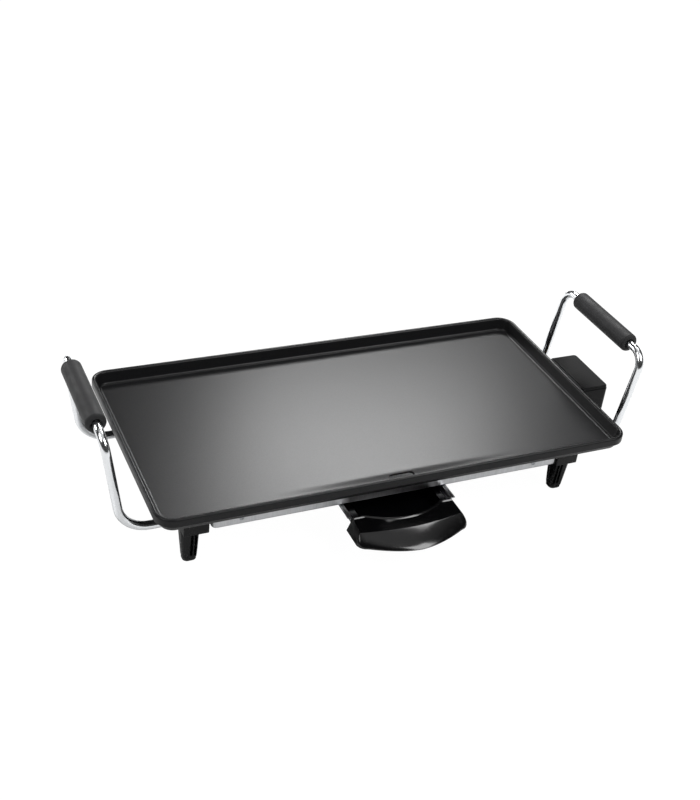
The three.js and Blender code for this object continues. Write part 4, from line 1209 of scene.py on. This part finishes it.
class GRIDDLE_OT_dial(bpy.types.Operator):
    """Mould the fluted temperature dial and its pointer"""

    bl_idname = "griddle.dial"
    bl_label = "Temperature dial"

    def execute(self, context):
        shapes = context.scene.griddle_shapes
        low, high = box_mm("temperature_dial")
        thickness = high.x - low.x
        centre = (low.x, (low.y + high.y) / 2, (low.z + high.z) / 2)
        dial = turned(
            [
                (0, 0),
                (12.6, 0),
                (13, 0.4),
                (13, 2.0),
                (12.7, 2.5),
                (10.6, 2.9),
                (10.2, thickness - 1.0),
                (9.3, thickness - 0.1),
                (0, thickness),
            ],
            centre,
            "+X",
            steps=72,
        )
        flutes = []
        for index in range(shapes.flutes):
            turn = math.tau * (index + 0.5) / shapes.flutes
            place = (
                centre[0] + 2.8,
                centre[1] + 11.2 * math.sin(turn),
                centre[2] + 11.2 * math.cos(turn),
            )
            flutes.append(drum(1.25, thickness, place, "+X", sides=14))
        bore = drum(3.3, 5.8, (centre[0] - 1, centre[1], centre[2]), "+X", sides=24)
        dial = combined(dial, *flutes, bore)
        plastic = polished_plastic()
        finish_piece("temperature_dial_fluted", dial, plastic, "dial", ["temperature_dial"])
        pointer = slab(
            (centre[0] + thickness - 0.6, centre[1] - 0.6, centre[2] + 3),
            (centre[0] + thickness + 0.12, centre[1] + 0.6, centre[2] + 8.6),
            0.3,
            2,
            X_AXIS,
        )
        finish_piece("dial_pointer", pointer, printed_white(), "dial")
        lens = centre_mm("pilot_lamp_lens")
        lens_end = box_mm("pilot_lamp_lens")[1].x
        cap = turned(
            [
                (0, -6),
                (2.4, -6),
                (2.4, 0.3),
                (3.8, 0.3),
                (3.8, 0.7),
                (3.3, 0.9),
                (2.9, 0.8),
                (2.4, 1.2),
                (1.4, 1.5),
                (0, 1.6),
            ],
            (lens_end - 1.6, lens.y, lens.z),
            "+X",
            steps=36,
        )
        finish_piece("pilot_lamp_cap", cap, lamp_lens(), stands_for=["pilot_lamp_lens"])
        return {"FINISHED"}


class GRIDDLE_OT_inlet(bpy.types.Operator):
    """Mould the appliance inlet and stamp its pins"""

    bl_idname = "griddle.inlet"
    bl_label = "Appliance inlet"

    def execute(self, context):
        low, high = box_mm("inlet_housing")
        body = slab((low.x + 2, low.y, low.z + 3), (high.x - 2, high.y - 1, high.z - 3), 3, 4, Y_AXIS)
        flange = slab((low.x, high.y - 2, low.z), (high.x, high.y, high.z), 3, 5, Y_AXIS)
        round_edges(flange, edges_at(flange, 1, high.y), 0.6, 3)
        mouth_low = (low.x + 3.6, low.y + 2, low.z + 4.6)
        mouth = slab(mouth_low, (high.x - 3.6, high.y + 2, high.z - 4.6), 2.5, 4, Y_AXIS)
        slots = []
        for name in ("line", "neutral", "earth"):
            pin_low, pin_high = box_mm(f"inlet_pin_{name}")
            slots.append(
                slab(
                    (pin_low.x - 0.3, low.y - 2, pin_low.z - 0.3),
                    (pin_high.x + 0.3, low.y + 4, pin_high.z + 0.3),
                )
            )
            pin = slab(pin_low, pin_high)
            tip = [e for e in pin.edges if max(v.co.y for v in e.verts) > pin_high.y - 0.01]
            round_edges(pin, tip, 0.5, 2)
            brass = brass_metal()
            finish_piece(f"inlet_blade_{name}", pin, brass, stands_for=[f"inlet_pin_{name}"])
        housing = combined(combined(body, flange, operation="UNION"), mouth, *slots)
        phenolic = moulded_phenolic()
        finish_piece("inlet_moulding", housing, phenolic, stands_for=["inlet_housing"])
        return {"FINISHED"}


class GRIDDLE_OT_hidden(bpy.types.Operator):
    """Give the CAD pieces that stay in view their materials"""

    bl_idname = "griddle.hidden"
    bl_label = "Inner pieces"

    def execute(self, context):
        slots = {row["node"]: row["material_slot"] for row in frame["record"]["subparts"]}
        for name, node in frame["nodes"].items():
            node.data.materials.clear()
            node.data.materials.append(FINISH_OF_SLOT[slots[name]]())
        return {"FINISHED"}


class GRIDDLE_OT_stage(bpy.types.Operator):
    """Lay the floor and set the lights and the camera"""

    bl_idname = "griddle.stage"
    bl_label = "Stage"

    def execute(self, context):
        scene = context.scene
        stage = scene.griddle_stage
        bm = bmesh.new()
        bmesh.ops.create_grid(bm, x_segments=1, y_segments=1, size=FLOOR_REACH)
        mesh = bpy.data.meshes.new("floor")
        bm.to_mesh(mesh)
        bm.free()
        mesh.materials.append(self.floor_paint(stage.floor_tone))
        floor = bpy.data.objects.new("floor", mesh)
        scene.collection.objects.link(floor)
        for name, place, target, size, power in LIGHTS:
            self.light(scene, name, place, target, size, getattr(stage, power))
        self.surroundings(scene, stage.air_light)
        scene.view_settings.view_transform = "Standard"
        camera = bpy.data.objects.new("Camera", bpy.data.cameras.new("Camera"))
        camera.data.lens = CAMERA_LENS
        camera.data.sensor_width = 36
        camera.data.clip_end = 100
        scene.collection.objects.link(camera)
        forward = CAMERA_FORWARD.normalized()
        right = (CAMERA_RIGHT - forward * CAMERA_RIGHT.dot(forward)).normalized()
        turn = Matrix((right, right.cross(forward), -forward)).transposed()
        camera.matrix_world = Matrix.Translation(CAMERA_PLACE) @ turn.to_4x4()
        scene.camera = camera
        return {"FINISHED"}

    @staticmethod
    def light(scene, name, place, target, size, power):
        data = bpy.data.lights.new(name, "AREA")
        data.shape = "RECTANGLE"
        data.size, data.size_y = size
        data.energy = power
        lamp = bpy.data.objects.new(name, data)
        place = Vector(place)
        turn = (Vector(target) - place).to_track_quat("-Z", "Y").to_matrix().to_4x4()
        lamp.matrix_world = Matrix.Translation(place) @ turn
        scene.collection.objects.link(lamp)

    @staticmethod
    def floor_paint(tone):
        """White seen directly and grey in reflections, as a floor is in a dark studio."""
        material = bpy.data.materials.new("Studio floor, painted")
        material.use_nodes = True
        tree = material.node_tree
        tree.nodes.clear()
        seen = add_node(tree, "ShaderNodeLightPath").outputs["Is Camera Ray"]
        lit = add_node(tree, "ShaderNodeBsdfDiffuse", None, {"Color": linear(tone)}).outputs["BSDF"]
        # A little over white, so that the floor stays white away from the lights.
        even = add_node(tree, "ShaderNodeEmission", None, {"Color": (1, 1, 1, 1), "Strength": 1.05})
        share = add_node(tree, "ShaderNodeMath", {"operation": "MULTIPLY"}, {0: seen, 1: 0.94}).outputs[0]
        inputs = {0: share, 1: lit, 2: even.outputs["Emission"]}
        surface = add_node(tree, "ShaderNodeMixShader", None, inputs)
        add_node(tree, "ShaderNodeOutputMaterial", None, {"Surface": surface.outputs["Shader"]})
        return material

    @staticmethod
    def surroundings(scene, strength):
        """White seen directly; in reflections dark, and brighter overhead as under a pale ceiling."""
        world = bpy.data.worlds.new("Studio air")
        scene.world = world
        world.use_nodes = True
        tree = world.node_tree
        tree.nodes.clear()
        seen = add_node(tree, "ShaderNodeLightPath").outputs["Is Camera Ray"]
        place = add_node(tree, "ShaderNodeTexCoord").outputs["Generated"]
        height = add_node(tree, "ShaderNodeSeparateXYZ", None, {"Vector": place}).outputs["Z"]
        ceiling = ranged(tree, height, strength, 14 * strength, 0.74, 0.95)
        amount = add_node(
            tree, "ShaderNodeMapRange", None, {"Value": seen, "To Min": ceiling, "To Max": 1.0}
        ).outputs["Result"]
        background = add_node(
            tree, "ShaderNodeBackground", None, {"Color": (1, 1, 1, 1), "Strength": amount}
        )
        add_node(tree, "ShaderNodeOutputWorld", None, {"Surface": background.outputs["Background"]})


OPERATORS = (
    GRIDDLE_OT_stage,
    GRIDDLE_OT_hidden,
    GRIDDLE_OT_plate,
    GRIDDLE_OT_handles,
    GRIDDLE_OT_feet,
    GRIDDLE_OT_shield,
    GRIDDLE_OT_tray,
    GRIDDLE_OT_tray_handle,
    GRIDDLE_OT_screws,
    GRIDDLE_OT_box,
    GRIDDLE_OT_dial,
    GRIDDLE_OT_inlet,
)


class GRIDDLE_PT_panel(bpy.types.Panel):
    """Lists the griddle's pieces and settings"""

    bl_idname = "GRIDDLE_PT_panel"
    bl_label = "Electric griddle"
    bl_space_type = "VIEW_3D"
    bl_region_type = "UI"
    bl_category = "Griddle"

    def draw(self, context):
        for operator in OPERATORS:
            self.layout.operator(operator.bl_idname)
        for group in ("griddle_shapes", "griddle_colours", "griddle_stage"):
            settings = getattr(context.scene, group)
            for name in settings.__annotations__:
                self.layout.prop(settings, name)


GROUPS = (GriddleShapes, GriddleColours, GriddleStage)


def register():
    for item in (*GROUPS, *OPERATORS, GRIDDLE_PT_panel):
        bpy.utils.register_class(item)
    bpy.types.Scene.griddle_shapes = PointerProperty(type=GriddleShapes)
    bpy.types.Scene.griddle_colours = PointerProperty(type=GriddleColours)
    bpy.types.Scene.griddle_stage = PointerProperty(type=GriddleStage)


def unregister():
    del bpy.types.Scene.griddle_stage
    del bpy.types.Scene.griddle_colours
    del bpy.types.Scene.griddle_shapes
    for item in reversed((*GROUPS, *OPERATORS, GRIDDLE_PT_panel)):
        bpy.utils.unregister_class(item)


def main():
    register()
    for operator in OPERATORS:
        group, name = operator.bl_idname.split(".")
        getattr(getattr(bpy.ops, group), name)()


if __name__ == "__main__":
    main()
